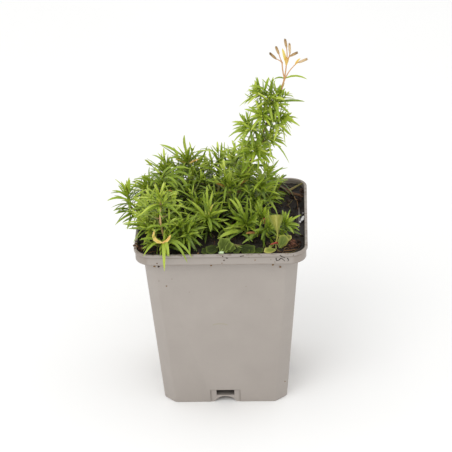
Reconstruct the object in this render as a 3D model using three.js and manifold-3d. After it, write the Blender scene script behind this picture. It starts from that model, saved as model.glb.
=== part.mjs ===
// Creeping phlox in a square nursery pot, with its old seed head and two small weeds.
//
// Millimetres, +Z up. The origin is the middle of the pot's underside, and the front faces -Y.
// The pot and the soil are cut from extruded outlines. Every leafy stem is a bent rod with
// three-sided needles on it, set in crossed pairs by one seeded rule and fused to the rod.
// A needle that would run into another stem's leaves is turned, lifted or shortened until it
// is clear, and is left out when no try is.

import * as THREE from 'three';
import { mergeVertices } from 'three/addons/utils/BufferGeometryUtils.js';
import Module from 'manifold-3d';

const wasm = await Module();
wasm.setup();

// ---------- driving dimensions ----------

const POT = {
  width: 90, // across the rim
  height: 95.5,
  band: 6.2, // height of the upright band round the rim
  bandCorner: 10, // its outer corner radius
  bandWall: 1.5,
  ledge: 1.2, // thickness of the step under the band
  bodyTop: 80.6, // across the body, right under the band
  bodyBase: 65.8,
  chamfer: 6.1, // leg of the flat along each upright edge
  wall: 1.2,
  floor: 1.6,
};
const DRAIN = {
  radius: 5, // half-round notch through wall and floor
  height: 7.2,
  panelWidth: 16.8, // shallow flat round the notch
  panelDepth: 0.4,
  hollow: 8.5, // what the soil has washed back behind the notch
};
const SOIL = { top: 92, mound: 2, gap: 0.3, reliefStep: 12 };
const STEM = { radius: 0.75, sides: 4, step: 6, holeRadius: 1.6 };
const LEAF = {
  width: 1.75, // across the widest leaf
  keel: 0.68, // thickest part, at a third of its length
  widest: 0.4, // where along the leaf that is
  straight: 1.15, // a leaf that bows less than this is drawn with one ring, others with two
  gap: 0.15, // clear air kept to any other stem's leaves
};
const TWINS = { grid: 0.002, drawn: 0.006 }; // what counts as one spot, and how far a corner moves
const BODY_TOP_Z = POT.height - POT.band;
const LEDGE_TOP_Z = BODY_TOP_Z + POT.ledge;

// ---------- small helpers ----------

const { degToRad } = THREE.MathUtils;
const UP = new THREE.Vector3(0, 0, 1);
const point = ([x, y, z]) => new THREE.Vector3(x, y, z);

// A seeded stream of numbers from 0 to 1 (mulberry32).
function seededStream(seed) {
  let state = seed >>> 0;
  return () => {
    state = (state + 0x6d2b79f5) >>> 0;
    let mixed = Math.imul(state ^ (state >>> 15), state | 1);
    mixed = (mixed + Math.imul(mixed ^ (mixed >>> 7), mixed | 61)) ^ mixed;
    return ((mixed ^ (mixed >>> 14)) >>> 0) / 4294967296;
  };
}

function solidOf(geometry) {
  geometry.deleteAttribute('normal');
  geometry.deleteAttribute('uv');
  const merged = mergeVertices(geometry, 1e-4);
  return new wasm.Manifold(new wasm.Mesh({
    numProp: 3,
    vertProperties: merged.attributes.position.array,
    triVerts: Uint32Array.from(merged.index.array),
  }));
}

const fuse = (solids) => wasm.Manifold.union(solids);

// Keeps the one real body: loose scraps go, and hollows sealed by the fusing are filled.
function oneBody(solid) {
  const bodies = solid.decompose();
  return bodies.reduce((best, body) => (body.volume() > best.volume() ? body : best));
}

// Two corners of a body that fall on one spot are each drawn in along their own normal.
function partTwins({ attributes: { position, normal } }) {
  const { grid, drawn } = TWINS;
  const spots = new Map();
  for (let i = 0; i < position.count; i += 1) {
    const spot = [position.getX(i), position.getY(i), position.getZ(i)];
    const key = spot.map((value) => Math.round(value / grid)).join();
    spots.set(key, [...(spots.get(key) ?? []), i]);
  }
  for (const twins of [...spots.values()].filter((list) => list.length > 1)) {
    for (const i of twins) {
      position.setXYZ(
        i,
        position.getX(i) - drawn * normal.getX(i),
        position.getY(i) - drawn * normal.getY(i),
        position.getZ(i) - drawn * normal.getZ(i),
      );
    }
  }
}

function meshOf(name, solid, { colour, roughness }) {
  const { vertProperties, triVerts } = oneBody(solid.simplify(0.02)).getMesh();
  const geometry = new THREE.BufferGeometry();
  geometry.setAttribute('position', new THREE.BufferAttribute(vertProperties, 3));
  geometry.setIndex(new THREE.BufferAttribute(triVerts, 1));
  geometry.computeVertexNormals();
  partTwins(geometry);
  const material = new THREE.MeshStandardMaterial({ color: colour, roughness, metalness: 0 });
  const mesh = new THREE.Mesh(geometry, material);
  mesh.name = name;
  return mesh;
}

// ---------- finishes ----------

const FINISH = {
  plastic: { colour: '#aea7a0', roughness: 0.5 },
  peat: { colour: '#33281c', roughness: 0.95 },
  fresh: { colour: '#7f9636', roughness: 0.55 },
  deep: { colour: '#5c6f2e', roughness: 0.55 },
  straw: { colour: '#cda468', roughness: 0.7 },
  olive: { colour: '#8b9150', roughness: 0.6 },
};

// ---------- pot ----------

function chamferedSquare(width, chamfer) {
  const half = width / 2;
  const flat = half - chamfer;
  const corners = [
    [flat, -half], [half, -flat], [half, flat], [flat, half],
    [-flat, half], [-half, flat], [-half, -flat], [-flat, -half],
  ];
  return new THREE.Shape(corners.map(([x, y]) => new THREE.Vector2(x, y)));
}

function roundedSquare(width, radius) {
  const inner = width / 2 - radius;
  const shape = new THREE.Shape();
  shape.absarc(inner, inner, radius, 0, Math.PI / 2);
  shape.absarc(-inner, inner, radius, Math.PI / 2, Math.PI);
  shape.absarc(-inner, -inner, radius, Math.PI, Math.PI * 1.5);
  shape.absarc(inner, -inner, radius, Math.PI * 1.5, Math.PI * 2);
  return shape;
}

function upright(shape, fromZ, toZ) {
  const depth = toZ - fromZ;
  const geometry = new THREE.ExtrudeGeometry(shape, { depth, bevelEnabled: false, curveSegments: 3 });
  return geometry.translate(0, 0, fromZ);
}

// The pot's body or its inside: a chamfered square that narrows evenly downwards.
function taperedBody(inset, fromZ, toZ) {
  const slope = (POT.bodyTop - POT.bodyBase) / 2 / BODY_TOP_Z;
  const widest = POT.bodyTop - 2 * inset;
  const geometry = upright(chamferedSquare(widest, POT.chamfer), fromZ, toZ);
  const place = geometry.attributes.position;
  for (let i = 0; i < place.count; i += 1) {
    const narrower = (BODY_TOP_Z - place.getZ(i)) * slope;
    place.setX(i, place.getX(i) - Math.sign(place.getX(i)) * narrower);
    place.setY(i, place.getY(i) - Math.sign(place.getY(i)) * narrower);
  }
  return solidOf(geometry);
}

function bandSolid(inset, fromZ, toZ) {
  const width = POT.width - 2 * inset;
  return solidOf(upright(roundedSquare(width, POT.bandCorner - inset), fromZ, toZ));
}

function notch(radius, fromZ, toZ, side, corners = 16) {
  const geometry = new THREE.CylinderGeometry(radius, radius, toZ - fromZ, corners);
  geometry.rotateX(Math.PI / 2).translate(0, -POT.bodyBase / 2, (fromZ + toZ) / 2);
  return solidOf(geometry.rotateZ((side * Math.PI) / 2));
}

function drainPanel(side) {
  const draft = Math.atan((POT.bodyTop - POT.bodyBase) / 2 / BODY_TOP_Z);
  const below = 1;
  const geometry = new THREE.BoxGeometry(DRAIN.panelWidth, 2, DRAIN.height + below);
  geometry.translate(0, DRAIN.panelDepth - 1, (DRAIN.height - below) / 2).rotateX(draft);
  geometry.translate(0, -POT.bodyBase / 2, 0);
  return solidOf(geometry.rotateZ((side * Math.PI) / 2));
}

function makePot() {
  const outside = taperedBody(0, 0, LEDGE_TOP_Z).add(bandSolid(0, BODY_TOP_Z, POT.height));
  const inside = taperedBody(POT.wall, POT.floor, LEDGE_TOP_Z + 1)
    .add(bandSolid(POT.bandWall, LEDGE_TOP_Z, POT.height + 1));
  const cuts = [0, 1, 2, 3].flatMap((side) => [
    notch(DRAIN.radius, -1, DRAIN.height, side),
    drainPanel(side),
  ]);
  return outside.subtract(inside).subtract(fuse(cuts));
}

// ---------- soil ----------

function soilHeight(x, y) {
  const mound = SOIL.mound * Math.exp(-(x * x + y * y) / 700);
  const lumps = 0.5 * Math.sin(0.25 * x + 1.3) * Math.cos(0.22 * y) + 0.3 * Math.sin(0.4 * x + 0.35 * y);
  return SOIL.top + mound + lumps;
}

// A plain straight hole along the buried stretch of a stem.
function stemHole([foot, next]) {
  const lean = point(next).sub(point(foot)).normalize();
  const bottom = point(foot).addScaledVector(lean, -STEM.radius);
  const hole = new THREE.LineCurve3(bottom, point(next).addScaledVector(lean, 4));
  return rodAlong(hole, STEM.holeRadius, 1);
}

function makeSoil(stems) {
  const inset = POT.wall + SOIL.gap;
  const bottom = POT.floor + SOIL.gap;
  const slabZ = LEDGE_TOP_Z + SOIL.gap;
  const fill = taperedBody(inset, bottom, slabZ + 0.1)
    .add(bandSolid(POT.bandWall + SOIL.gap, slabZ, POT.height));
  const cells = Math.round(POT.width / SOIL.reliefStep);
  const block = new THREE.BoxGeometry(POT.width, POT.width, SOIL.top, cells, cells, 1);
  block.translate(0, 0, SOIL.top / 2);
  const place = block.attributes.position;
  for (let i = 0; i < place.count; i += 1) {
    if (place.getZ(i) > SOIL.top / 2) {
      place.setZ(i, soilHeight(place.getX(i), place.getY(i)));
    }
  }
  const hollows = [0, 1, 2, 3].map((side) => notch(DRAIN.hollow, 0, DRAIN.height + 3, side, 10));
  const holes = stems.map(stemHole);
  return fill.intersect(solidOf(block)).subtract(fuse([...hollows, ...holes]));
}

// ---------- stems ----------

const pathOf = (way) => new THREE.CatmullRomCurve3(way.map(point), false, 'catmullrom', 0.5);

function rodAlong(path, radius, steps, sides = STEM.sides) {
  const corners = Array.from({ length: sides }, (_, side) => {
    const turn = (side * 2 * Math.PI) / sides;
    return new THREE.Vector2(radius * Math.cos(turn), radius * Math.sin(turn));
  });
  return solidOf(new THREE.ExtrudeGeometry(new THREE.Shape(corners), { steps, extrudePath: path }));
}

function stemRod(way, radius) {
  const path = pathOf(way);
  return rodAlong(path, radius, Math.max(3, Math.round(path.getLength() / STEM.step)));
}

// ---------- needles ----------

// Half the width of a leaf at a share of its length: pointed at both ends, full in the middle.
function halfWidth(share, width) {
  const rise = Math.sin((Math.PI / 2) * Math.min(1, share / LEAF.widest));
  const fall = Math.min(1, (1 - share) / (1 - LEAF.widest));
  return (width / 2) * rise * fall ** 0.7;
}

// A leaf is flat above and keeled below, pointed at both ends, and bends along a quadratic
// curve. facing is the side of the stem's tip, where the flat upper face looks.
function needle({ root, bend, tip, width, facing }) {
  const spine = new THREE.QuadraticBezierCurve3(root, bend, tip);
  const bow = root.clone().add(tip).multiplyScalar(0.5).distanceTo(bend) / 2;
  const shares = bow < LEAF.straight ? [0, 0.38, 1] : [0, 0.26, 0.62, 1];
  const stretches = shares.length - 1;
  const geometry = new THREE.SphereGeometry(1, 3, stretches).rotateY(-Math.PI / 2);
  const place = geometry.attributes.position;
  for (let i = 0; i < place.count; i += 1) {
    const ring = stretches - Math.round((Math.acos(place.getY(i)) / Math.PI) * stretches);
    const share = shares[ring];
    const along = spine.getTangent(share);
    const across = new THREE.Vector3().crossVectors(along, facing).normalize();
    const above = new THREE.Vector3().crossVectors(across, along);
    const turn = Math.atan2(place.getX(i), place.getZ(i));
    const half = halfWidth(share, width);
    const keel = (LEAF.keel * half) / (LEAF.width / 2);
    const spot = spine.getPoint(share)
      .addScaledVector(across, (half * Math.sin(turn)) / Math.sin(Math.PI / 3))
      .addScaledVector(above, (keel * (Math.cos(turn) - 0.5)) / 1.5);
    place.setXYZ(i, spot.x, spot.y, spot.z);
  }
  return solidOf(geometry);
}

// Shortest distance between the straight stretches a-b and c-d.
function distanceBetween(a, b, c, d) {
  const along = b.clone().sub(a);
  const other = d.clone().sub(c);
  const apart = a.clone().sub(c);
  const aa = along.dot(along);
  const bb = other.dot(other);
  const ab = along.dot(other);
  const ac = along.dot(apart);
  const bc = other.dot(apart);
  const spread = aa * bb - ab * ab;
  const { clamp } = THREE.MathUtils;
  const first = spread > 1e-9 ? clamp((ab * bc - ac * bb) / spread, 0, 1) : 0;
  const second = clamp((ab * first + bc) / bb, 0, 1);
  const again = clamp((ab * second - ac) / aa, 0, 1);
  return a.clone().addScaledVector(along, again).distanceTo(c.clone().addScaledVector(other, second));
}

// What stands already: stretches with their ends, half width and owner.
const standing = [];

function stand(owner, points, halves) {
  for (let i = 0; i + 1 < points.length; i += 1) {
    const [a, b] = [points[i], points[i + 1]];
    const reach = a.distanceTo(b) / 2 + Math.max(halves[i], halves[i + 1]);
    const middle = a.clone().add(b).multiplyScalar(0.5);
    standing.push({ owner, a, b, middle, reach, half: Math.max(halves[i], halves[i + 1]) });
  }
}

// How far a spot lies outside the rim's outer face, seen from above.
function outsideRim(x, y) {
  const flat = POT.width / 2 - POT.bandCorner;
  const dx = Math.abs(x) - flat;
  const dy = Math.abs(y) - flat;
  const corner = Math.hypot(Math.max(dx, 0), Math.max(dy, 0));
  return corner + Math.min(Math.max(dx, dy), 0) - POT.bandCorner;
}

function clearOfPot(spot, room) {
  const out = outsideRim(spot.x, spot.y);
  if (out > room || spot.z > POT.height + room) {
    return true;
  }
  return out < -POT.bandWall - room && spot.z > soilHeight(spot.x, spot.y) + room;
}

const SAMPLES = [0.12, 0.36, 0.6, 0.8, 1];

function isClear(owner, leaf) {
  const spine = new THREE.QuadraticBezierCurve3(leaf.root, leaf.bend, leaf.tip);
  const spots = SAMPLES.map((share) => spine.getPoint(share));
  const halves = SAMPLES.map((share) => halfWidth(share, leaf.width));
  const potRoom = (i) => halves[i] + 0.35;
  if (!spots.every((spot, i) => clearOfPot(spot, potRoom(i)))) {
    return false;
  }
  for (let i = 0; i + 1 < spots.length; i += 1) {
    const [a, b] = [spots[i], spots[i + 1]];
    const half = Math.max(halves[i], halves[i + 1]);
    const middle = a.clone().add(b).multiplyScalar(0.5);
    const reach = a.distanceTo(b) / 2 + half;
    for (const other of standing) {
      const near = middle.distanceTo(other.middle) < reach + other.reach + LEAF.gap;
      if (other.owner !== owner && near) {
        const room = half + other.half + LEAF.gap;
        if (distanceBetween(a, b, other.a, other.b) < room) {
          return false;
        }
      }
    }
  }
  return true;
}

function standLeaf(owner, leaf) {
  const spine = new THREE.QuadraticBezierCurve3(leaf.root, leaf.bend, leaf.tip);
  const halves = SAMPLES.map((share) => halfWidth(share, leaf.width));
  stand(owner, SAMPLES.map((share) => spine.getPoint(share)), halves);
}

// ---------- the leafy stems ----------

// way: from the buried foot past each bend to the growing tip.
// from: how far up the leaves start. pairs: pairs of leaves. long: the longest leaf.
// open: how far the lowest and the topmost leaves lean from the stem, in degrees.
// arch: how much of its length a leaf bends back.
// reach: leaves that go to a set spot, as [share of the stem, x, y, z, lift of the middle] and,
// for a wider leaf, how many times wider.
const leafy = (way, more = {}) => ({
  way, from: 0.4, pairs: 9, long: 14, open: [92, 30], arch: 0.12, reach: [], ...more,
});
const shoot = (name, way, more) => ({ name, finish: 'fresh', axes: [leafy(way, more)] });
const oldShoot = (name, way, more) => ({ name, finish: 'deep', axes: [leafy(way, more)] });

// The tall stem at the back right, with a leafy side branch at most of its bends.
const TALL = {
  name: 'shoot_tall',
  finish: 'fresh',
  axes: [
    leafy([
      [4, 8, 84], [5, 8, 95], [11, 9, 112], [17, 10, 126], [22, 10, 138],
      [25, 10, 146], [27.5, 11, 152], [30, 12, 157.5], [32, 13, 161],
    ], {
      from: 0.45,
      pairs: 12,
      long: 11,
      reach: [
        [0.9, 25.5, 10, 171, 0], [0.9, 28, 9, 171.5, 0], [0.88, 22, 12, 169, 0.5],
        [0.9, 32, 6.5, 168, 0], [0.9, 34, 20, 163, 0.5], [0.94, 45, 11, 156, 1],
        [0.88, 36, 1, 157, 1], [0.86, 35, 20, 150, 1], [0.72, 18, 2, 155, 0.5],
        [0.45, 6, 2, 133, 1], [0.42, 21, 14, 120, 1],
      ],
    }),
    leafy([[28, 11.5, 155], [24.5, 12.5, 159.5], [20.5, 13, 162]], {
      from: 0.25,
      pairs: 9,
      long: 10,
      reach: [[0.9, 19, 10, 171, 0], [0.9, 12, 7, 166, 0.5], [0.6, 10, 10, 154, 1], [0.8, 14, 20, 153, 1]],
    }),
    leafy([[21, 10, 136], [17, 9, 141], [14, 8, 144.5]], {
      from: 0.3,
      pairs: 7,
      long: 11,
      reach: [
        [0.9, 10, 5, 153, 0], [0.95, 15, 3, 155, 0], [0.9, 6, 6, 147, 0.5],
        [0.8, 6, 14, 141, 1], [0.7, 4, 4, 139, 1], [0.5, 6, 5, 135, 1.5], [0.7, 12, -4, 141, 1],
      ],
    }),
    leafy([[26, 10, 148], [30, 9.5, 147.5], [33, 9, 147.5]], {
      from: 0.3,
      pairs: 8,
      long: 10,
      reach: [
        [0.9, 41, 5, 149, 0.5], [0.9, 42, 8, 143, 0.5], [0.9, 39, 0, 150, 0.5],
        [0.8, 37, 0, 143, 1], [0.8, 34, 3, 135, 1], [0.6, 28, 4, 134, 1.5], [0.9, 36, 4, 153, 0],
      ],
    }),
    leafy([[25, 10, 146], [23, 8, 149], [22, 6, 151]], { from: 0.3, pairs: 7, long: 10 }),
    leafy([[17, 10, 126], [18, 7.5, 129], [18.5, 5.5, 132]], {
      from: 0.3,
      pairs: 7,
      long: 11.5,
      reach: [
        [0.9, 16, 6, 141, 0], [0.9, 21, 3, 143, 0], [0.8, 11, 8, 136, 0.5],
        [0.7, 10, 0, 132, 1], [0.7, 22, -3, 126, 1], [0.7, 26, 4, 124, 1],
      ],
    }),
    leafy([[20, 10, 133], [24, 9.5, 135], [26, 9, 138]], {
      pairs: 6,
      long: 11,
      reach: [
        [0.7, 33, 6, 137, 0.5], [0.6, 35, 6, 132, 1.5], [0.5, 36, 5, 123, 3],
        [0.9, 27, 8, 146, 0], [0.4, 28, 5, 123, 1.5],
      ],
    }),
  ],
};

const SHOOTS = [
  TALL,
  shoot('shoot_mid_a', [[6, 2, 84], [7, 2, 95], [10, 3, 106], [11.5, 3.5, 116]], {
    reach: [
      [0.97, 12, 4, 131, 0], [0.95, 18, 2, 125, 0.5], [0.9, 20, 4, 119, 1],
      [0.85, 14, -9, 115, 1],
    ],
  }),
  shoot('shoot_mid_b', [[0, -1, 84], [0.5, -1, 95], [3, -1.5, 106], [4, -2, 115]], {
    reach: [
      [0.95, 1, -4, 127, 0], [0.97, 5, -6, 128, 0], [0.9, 10, -11, 121, 1],
      [0.9, -2, -12, 121, 0.5], [0.85, 8, -14, 115, 1],
    ],
  }),
  shoot('shoot_mid_c', [[12, 1, 84], [13, 1, 95], [18, 1.5, 103], [20, 2, 112]], {
    reach: [
      [0.95, 33, 6, 121, 0], [0.9, 31, 2, 112, 1], [0.9, 34, 3, 113, 1.5], [0.9, 15, -9, 114, 1],
      [0.8, 28, -5, 101, 2], [0.95, 24, -9, 114, 0.5], [0.85, 31, -4, 109, 1], [0.8, 20, -11, 107, 1],
    ],
  }),
  shoot('shoot_mid_d', [[16, 9, 84], [17, 9, 94], [22, 11, 105], [24.5, 12, 114]], {
    reach: [[0.95, 26, 3, 123, 0.5], [0.95, 27, 20, 115, 0.5], [0.9, 32, 8, 115, 1]],
  }),
  shoot('shoot_mid_e', [[-3, 11, 84], [-3, 12, 95], [-2, 18, 107], [-1, 22, 116]], {
    reach: [[0.95, -6, 20, 127, 0], [0.97, 0, 23, 128, 0], [0.95, 3, 25, 124, 0], [0.9, -9, 18, 118, 1]],
  }),
  shoot('shoot_mid_f', [[3, 16, 84], [3.5, 16.5, 95], [5, 20, 108], [6, 22, 117]], {
    reach: [[0.95, 3, 20, 128, 0], [0.97, 7, 25, 127, 0], [0.9, 13, 22, 125, 0.5], [0.9, 13, 16, 118, 1]],
  }),
  shoot('shoot_left_a', [[-12, 13, 84], [-13, 14, 95], [-17, 20, 108], [-19, 24, 117]], {
    reach: [
      [0.97, -20, 24, 130, 0], [0.95, -17, 20, 127, 0], [0.95, -14, 16, 126, 0.5], [0.9, -33, 26, 125, 0],
      [0.9, -7, 22, 124, 1.5], [0.9, -10, 30, 120, 1], [0.9, -23, 15, 126, 0.5], [0.85, -5, 22, 118, 1.5],
    ],
  }),
  shoot('shoot_left_b', [[-20, 13, 84], [-21, 14, 94], [-27, 21, 102], [-30.5, 25, 110]], {
    reach: [
      [0.95, -41, 25, 118, 0], [0.9, -42, 28, 115, 0.5], [0.97, -33, 26, 121, 0], [0.97, -29, 24, 121, 0],
      [0.9, -27, 34, 115, 0.5], [0.9, -34, 17, 119, 0.5], [0.8, -43, 22, 108, 1],
    ],
  }),
  oldShoot('shoot_left_c', [[-20, 4, 84], [-21, 4, 94], [-27, 6, 102], [-30.5, 7, 110]], {
    pairs: 9,
    reach: [
      [0.95, -38, 10, 117, 1], [0.95, -20, 10, 117, 2], [0.9, -18, 8, 111, 2.5], [0.85, -19, 6, 106, 2],
      [0.8, -24, -4, 104, 2], [0.9, -38, 0, 110, 1.5], [0.95, -30, -3, 117, 1.5], [0.97, -25, 0, 115, 2],
    ],
  }),
  shoot('shoot_left_d', [
    [-36, 0, 84], [-36.5, 0, 94], [-41, 0, 98.5], [-47, 1, 99.5], [-49.8, 3, 103], [-50, 4, 108],
  ], {
    from: 0.5,
    long: 12,
    reach: [
      [0.95, -53, 2, 115, 0], [0.97, -49, 6, 116, 0], [0.9, -58, 0, 111, 0.5], [0.85, -61, 0, 105, 1],
      [0.75, -58, 2, 98, 1], [0.75, -56, -6, 100, 0.5], [0.6, -57, -4, 92, 2], [0.5, -50, -7, 92, 2],
      [0.97, -46, -3, 115, 0], [0.45, -38, -12, 97, 1],
    ],
  }),
  shoot('shoot_left_e', [[-29, 11, 84], [-30, 11, 94], [-36, 13, 99.5], [-40, 14, 104]], {
    reach: [[0.95, -47, 10, 112, 0], [0.97, -42, 12, 114, 0], [0.9, -48, 18, 105, 1], [0.9, -45, 5, 109, 1]],
  }),
  shoot('shoot_left_f', [[-29, -6, 84], [-30, -6, 94], [-35, -7, 99], [-38, -8, 104]], { pairs: 7 }),
  shoot('shoot_front_a', [
    [-27.5, -27, 84], [-28, -28, 94], [-30, -29.5, 101],
    [-31, -29, 108], [-30.8, -28, 115], [-30.5, -28, 121],
  ], {
    from: 0.4,
    pairs: 10,
    long: 13,
    reach: [
      [0.97, -33, -30, 129, 0], [0.97, -29, -31, 129, 0], [0.9, -21, -30, 124, 0.5],
      [0.85, -19, -27, 118, 0.5], [0.9, -41, -30, 120, 0.5], [0.8, -43, -32, 111, 1],
      [0.85, -40, -38, 116, 1], [0.8, -17, -29, 115, 0.5],
      [0.8, -21, -36, 115, 1], [0.75, -40, -24, 108, 0.5],
    ],
  }),
  shoot('shoot_front_b', [[-28, -35, 84], [-28.2, -35.3, 94], [-29, -36.5, 98.5]], {
    from: 0.7,
    pairs: 4,
    long: 13,
    open: [95, 60],
    reach: [
      [0.95, -39.5, -47, 96, 3], [0.95, -28.5, -51.5, 89.5, 5.5], [0.95, -26, -48, 96, 4],
      [0.9, -16.5, -49, 93, 5], [0.9, -14, -47.5, 95, 4.5],
      [0.9, -42, -36, 100, 1.5], [0.95, -39, -40, 103, 1],
      [0.98, -34, -38.5, 107, -2.2], [0.98, -26, -39, 105, -1.6],
    ],
  }),
  oldShoot('shoot_front_c', [[-22, -24, 84], [-22, -25, 94], [-20, -28, 98], [-18.5, -30, 101]], {
    reach: [
      [0.95, -13, -34, 109, 0.5], [0.9, -11, -35, 104, 1], [0.9, -9, -36, 100, 1.5], [0.85, -10, -38, 97, 1],
      [0.95, -16, -28, 111, 0.5], [0.95, -21, -26, 111, 0.5],
    ],
  }),
  shoot('shoot_centre_a', [[-6, -12, 84], [-6, -13, 94], [-7, -16, 99], [-7.3, -18, 103]], {
    pairs: 6,
    open: [92, 40],
    reach: [
      [0.95, -18, -14, 113, 0.5], [0.9, -21, -16, 109, 1],
      [0.97, -15, -20, 114, 0.5], [0.97, -9, -15, 117, 0],
      [0.97, -7, -13, 120, 0], [0.97, -4, -13, 117, 0], [0.95, 1, -18, 113, 0.5], [0.95, 4, -21, 109, 1],
      [0.95, -16, -26, 107, 1], [0.9, 0, -28, 102, 1], [0.9, -5, -30, 101, 1.5], [0.9, -10, -29, 99, 1],
    ],
  }),
  shoot('shoot_centre_b', [[8, -14, 84], [8.5, -14.5, 95], [11.5, -17.5, 98], [13.3, -20, 100]], {
    pairs: 6,
    reach: [
      [0.95, 9, -22, 111, 0], [0.95, 12, -25, 110, 0.5], [0.9, 5, -29, 103, 1], [0.9, 6, -26, 107, 1],
      [0.95, 20, -27, 105, 1], [0.9, 4, -13, 112, 2.5], [0.9, 7, -12, 112, 3],
      [0.9, -2, -24, 95, 1.5, 1.5],
    ],
  }),
  shoot('shoot_centre_c', [[19, -20, 84], [19.5, -20.5, 94.5], [22.5, -22.5, 97.5], [24.5, -24.5, 100]], {
    pairs: 6,
    long: 12,
    reach: [[0.95, 21, -36, 99, 1], [0.9, 13, -28, 95, 1], [0.95, 28, -28, 110, 0]],
  }),
  shoot('shoot_centre_d', [[29, -17, 84], [29.3, -17.5, 94.5], [31.8, -20.3, 98], [33.3, -22, 101]], {
    pairs: 6,
    long: 11,
    reach: [
      [0.95, 32, -25, 111, 0], [0.97, 34, -27, 111, 0], [0.95, 37, -28, 108, 0.5],
      [0.9, 41, -25, 102, 0.5], [0.9, 41, -28, 100, 1], [0.9, 38, -33, 101, 1],
    ],
  }),
  shoot('shoot_centre_e', [[17, -13, 84], [17.5, -13.5, 94.5], [20.5, -16.5, 99], [21.5, -18, 103]], {
    pairs: 6,
    long: 12,
    reach: [
      [0.95, 18, -18, 111, 0], [0.97, 20, -21, 111, 0], [0.95, 24, -22, 111, 0], [0.9, 11, -12, 106, 1],
    ],
  }),
  shoot('shoot_front_d', [[-34, -18, 84], [-34.5, -19, 94], [-36.5, -21, 99], [-38, -22, 103]], { pairs: 7 }),
  oldShoot('shoot_low_a', [[-11, -1, 84], [-12, -1, 95], [-15, -0.5, 103], [-17, 0, 110]], {}),
  oldShoot('shoot_low_b', [[-10, -7, 84], [-10.5, -7, 95], [-12, -8, 101], [-12.5, -8.5, 106]], { pairs: 6 }),
  oldShoot('shoot_low_c', [[5, -7, 84], [5.5, -7, 95], [7, -8, 99], [7.5, -8.5, 105]], { pairs: 7 }),
  oldShoot('shoot_low_d', [[13, -6.5, 84], [14, -7, 95], [17, -8, 99], [18, -8.5, 104]], { pairs: 7 }),
  oldShoot('shoot_low_e', [[-16, -12, 84], [-17, -12, 94], [-20.5, -12.5, 99], [-22, -13, 104]], {
    pairs: 7,
  }),
  oldShoot('shoot_low_f', [[-2, -7, 84], [-2, -7, 95], [-3, -6.5, 103], [-3.3, -6, 109]], { pairs: 7 }),
  oldShoot('shoot_back_a', [[-24, 27, 84], [-25, 28, 94], [-28, 32, 98], [-30, 35, 102]], { pairs: 6 }),
  oldShoot('shoot_back_b', [[-9, 25, 84], [-9.5, 26, 94], [-12, 31, 98], [-13, 34, 103]], { pairs: 7 }),
  oldShoot('shoot_back_c', [[8, 25, 84], [8.5, 26, 94], [10, 30, 98], [11, 33, 102]], { pairs: 6 }),
  oldShoot('shoot_back_d', [[22, 19, 84], [22.5, 19.5, 94.5], [24.5, 22, 98.5], [25.5, 24, 102]], {
    pairs: 6,
  }),
];

// Tries for a leaf that is in another stem's way: [more lean, more turn, share of its length].
const TRIES = [
  [0, 0, 1], [-14, 0, 1], [0, 16, 1], [0, -16, 1], [-26, 0, 0.9],
  [14, 0, 0.9], [0, 32, 0.85], [0, -32, 0.85], [-20, 0, 0.62], [0, 0, 0.5],
];

function leafAt(root, axis, turn, lean, length, width, arch) {
  const reference = Math.abs(axis.z) > 0.95 ? new THREE.Vector3(1, 0, 0) : UP;
  const first = new THREE.Vector3().crossVectors(axis, reference).normalize();
  const second = new THREE.Vector3().crossVectors(axis, first);
  const outward = first.multiplyScalar(Math.cos(turn)).addScaledVector(second, Math.sin(turn));
  const along = axis.clone().multiplyScalar(Math.cos(lean)).addScaledVector(outward, Math.sin(lean));
  const back = axis.clone().multiplyScalar(-Math.sin(lean)).addScaledVector(outward, Math.cos(lean));
  return {
    root,
    bend: root.clone().addScaledVector(along, length / 2),
    tip: root.clone().addScaledVector(along, length).addScaledVector(back, length * arch),
    width,
    facing: axis,
  };
}

// A leaf whose upper face looks along its stem, and a little to the front.
function reachedLeaf(path, [share, x, y, z, lift, wider = 1]) {
  const root = path.getPoint(share);
  const tip = new THREE.Vector3(x, y, z);
  const bend = root.clone().add(tip).multiplyScalar(0.5);
  bend.z += 2 * lift;
  const facing = path.getTangent(share).add(new THREE.Vector3(0, -0.25, 0));
  return { root, bend, tip, width: LEAF.width * wider, facing };
}

// One leafy axis: crossed pairs, closer and more upright towards the growing tip.
function growPairs(owner, axis, path, random) {
  const leaves = [];
  for (let pair = 0; pair < axis.pairs; pair += 1) {
    const up = axis.pairs > 1 ? pair / (axis.pairs - 1) : 1;
    const share = axis.from + (1 - axis.from) * (1 - (1 - up) ** 1.35) * 0.995;
    const root = path.getPoint(share);
    const stem = path.getTangent(share);
    for (const half of [0, 1]) {
      const [r1, r2, r3, r4] = [random(), random(), random(), random()];
      const turn = Math.PI * (pair / 2 + half) + pair * 0.45 + (r1 - 0.5) * 0.7;
      const lean = degToRad(axis.open[0] + (axis.open[1] - axis.open[0]) * up + (r2 - 0.5) * 22);
      const length = axis.long * (0.9 + 0.2 * up - 0.55 * up ** 3) * (0.82 + 0.34 * r3);
      const width = LEAF.width * (1 - 0.25 * up) * (0.9 + 0.15 * r4);
      const arch = axis.arch * (0.2 + 1.6 * r4);
      for (const [leanMore, turnMore, part] of TRIES) {
        const leaf = leafAt(
          root, stem, turn + degToRad(turnMore), lean + degToRad(leanMore), length * part, width, arch,
        );
        if (isClear(owner, leaf)) {
          standLeaf(owner, leaf);
          leaves.push(leaf);
          break;
        }
      }
    }
  }
  return leaves;
}

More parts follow.
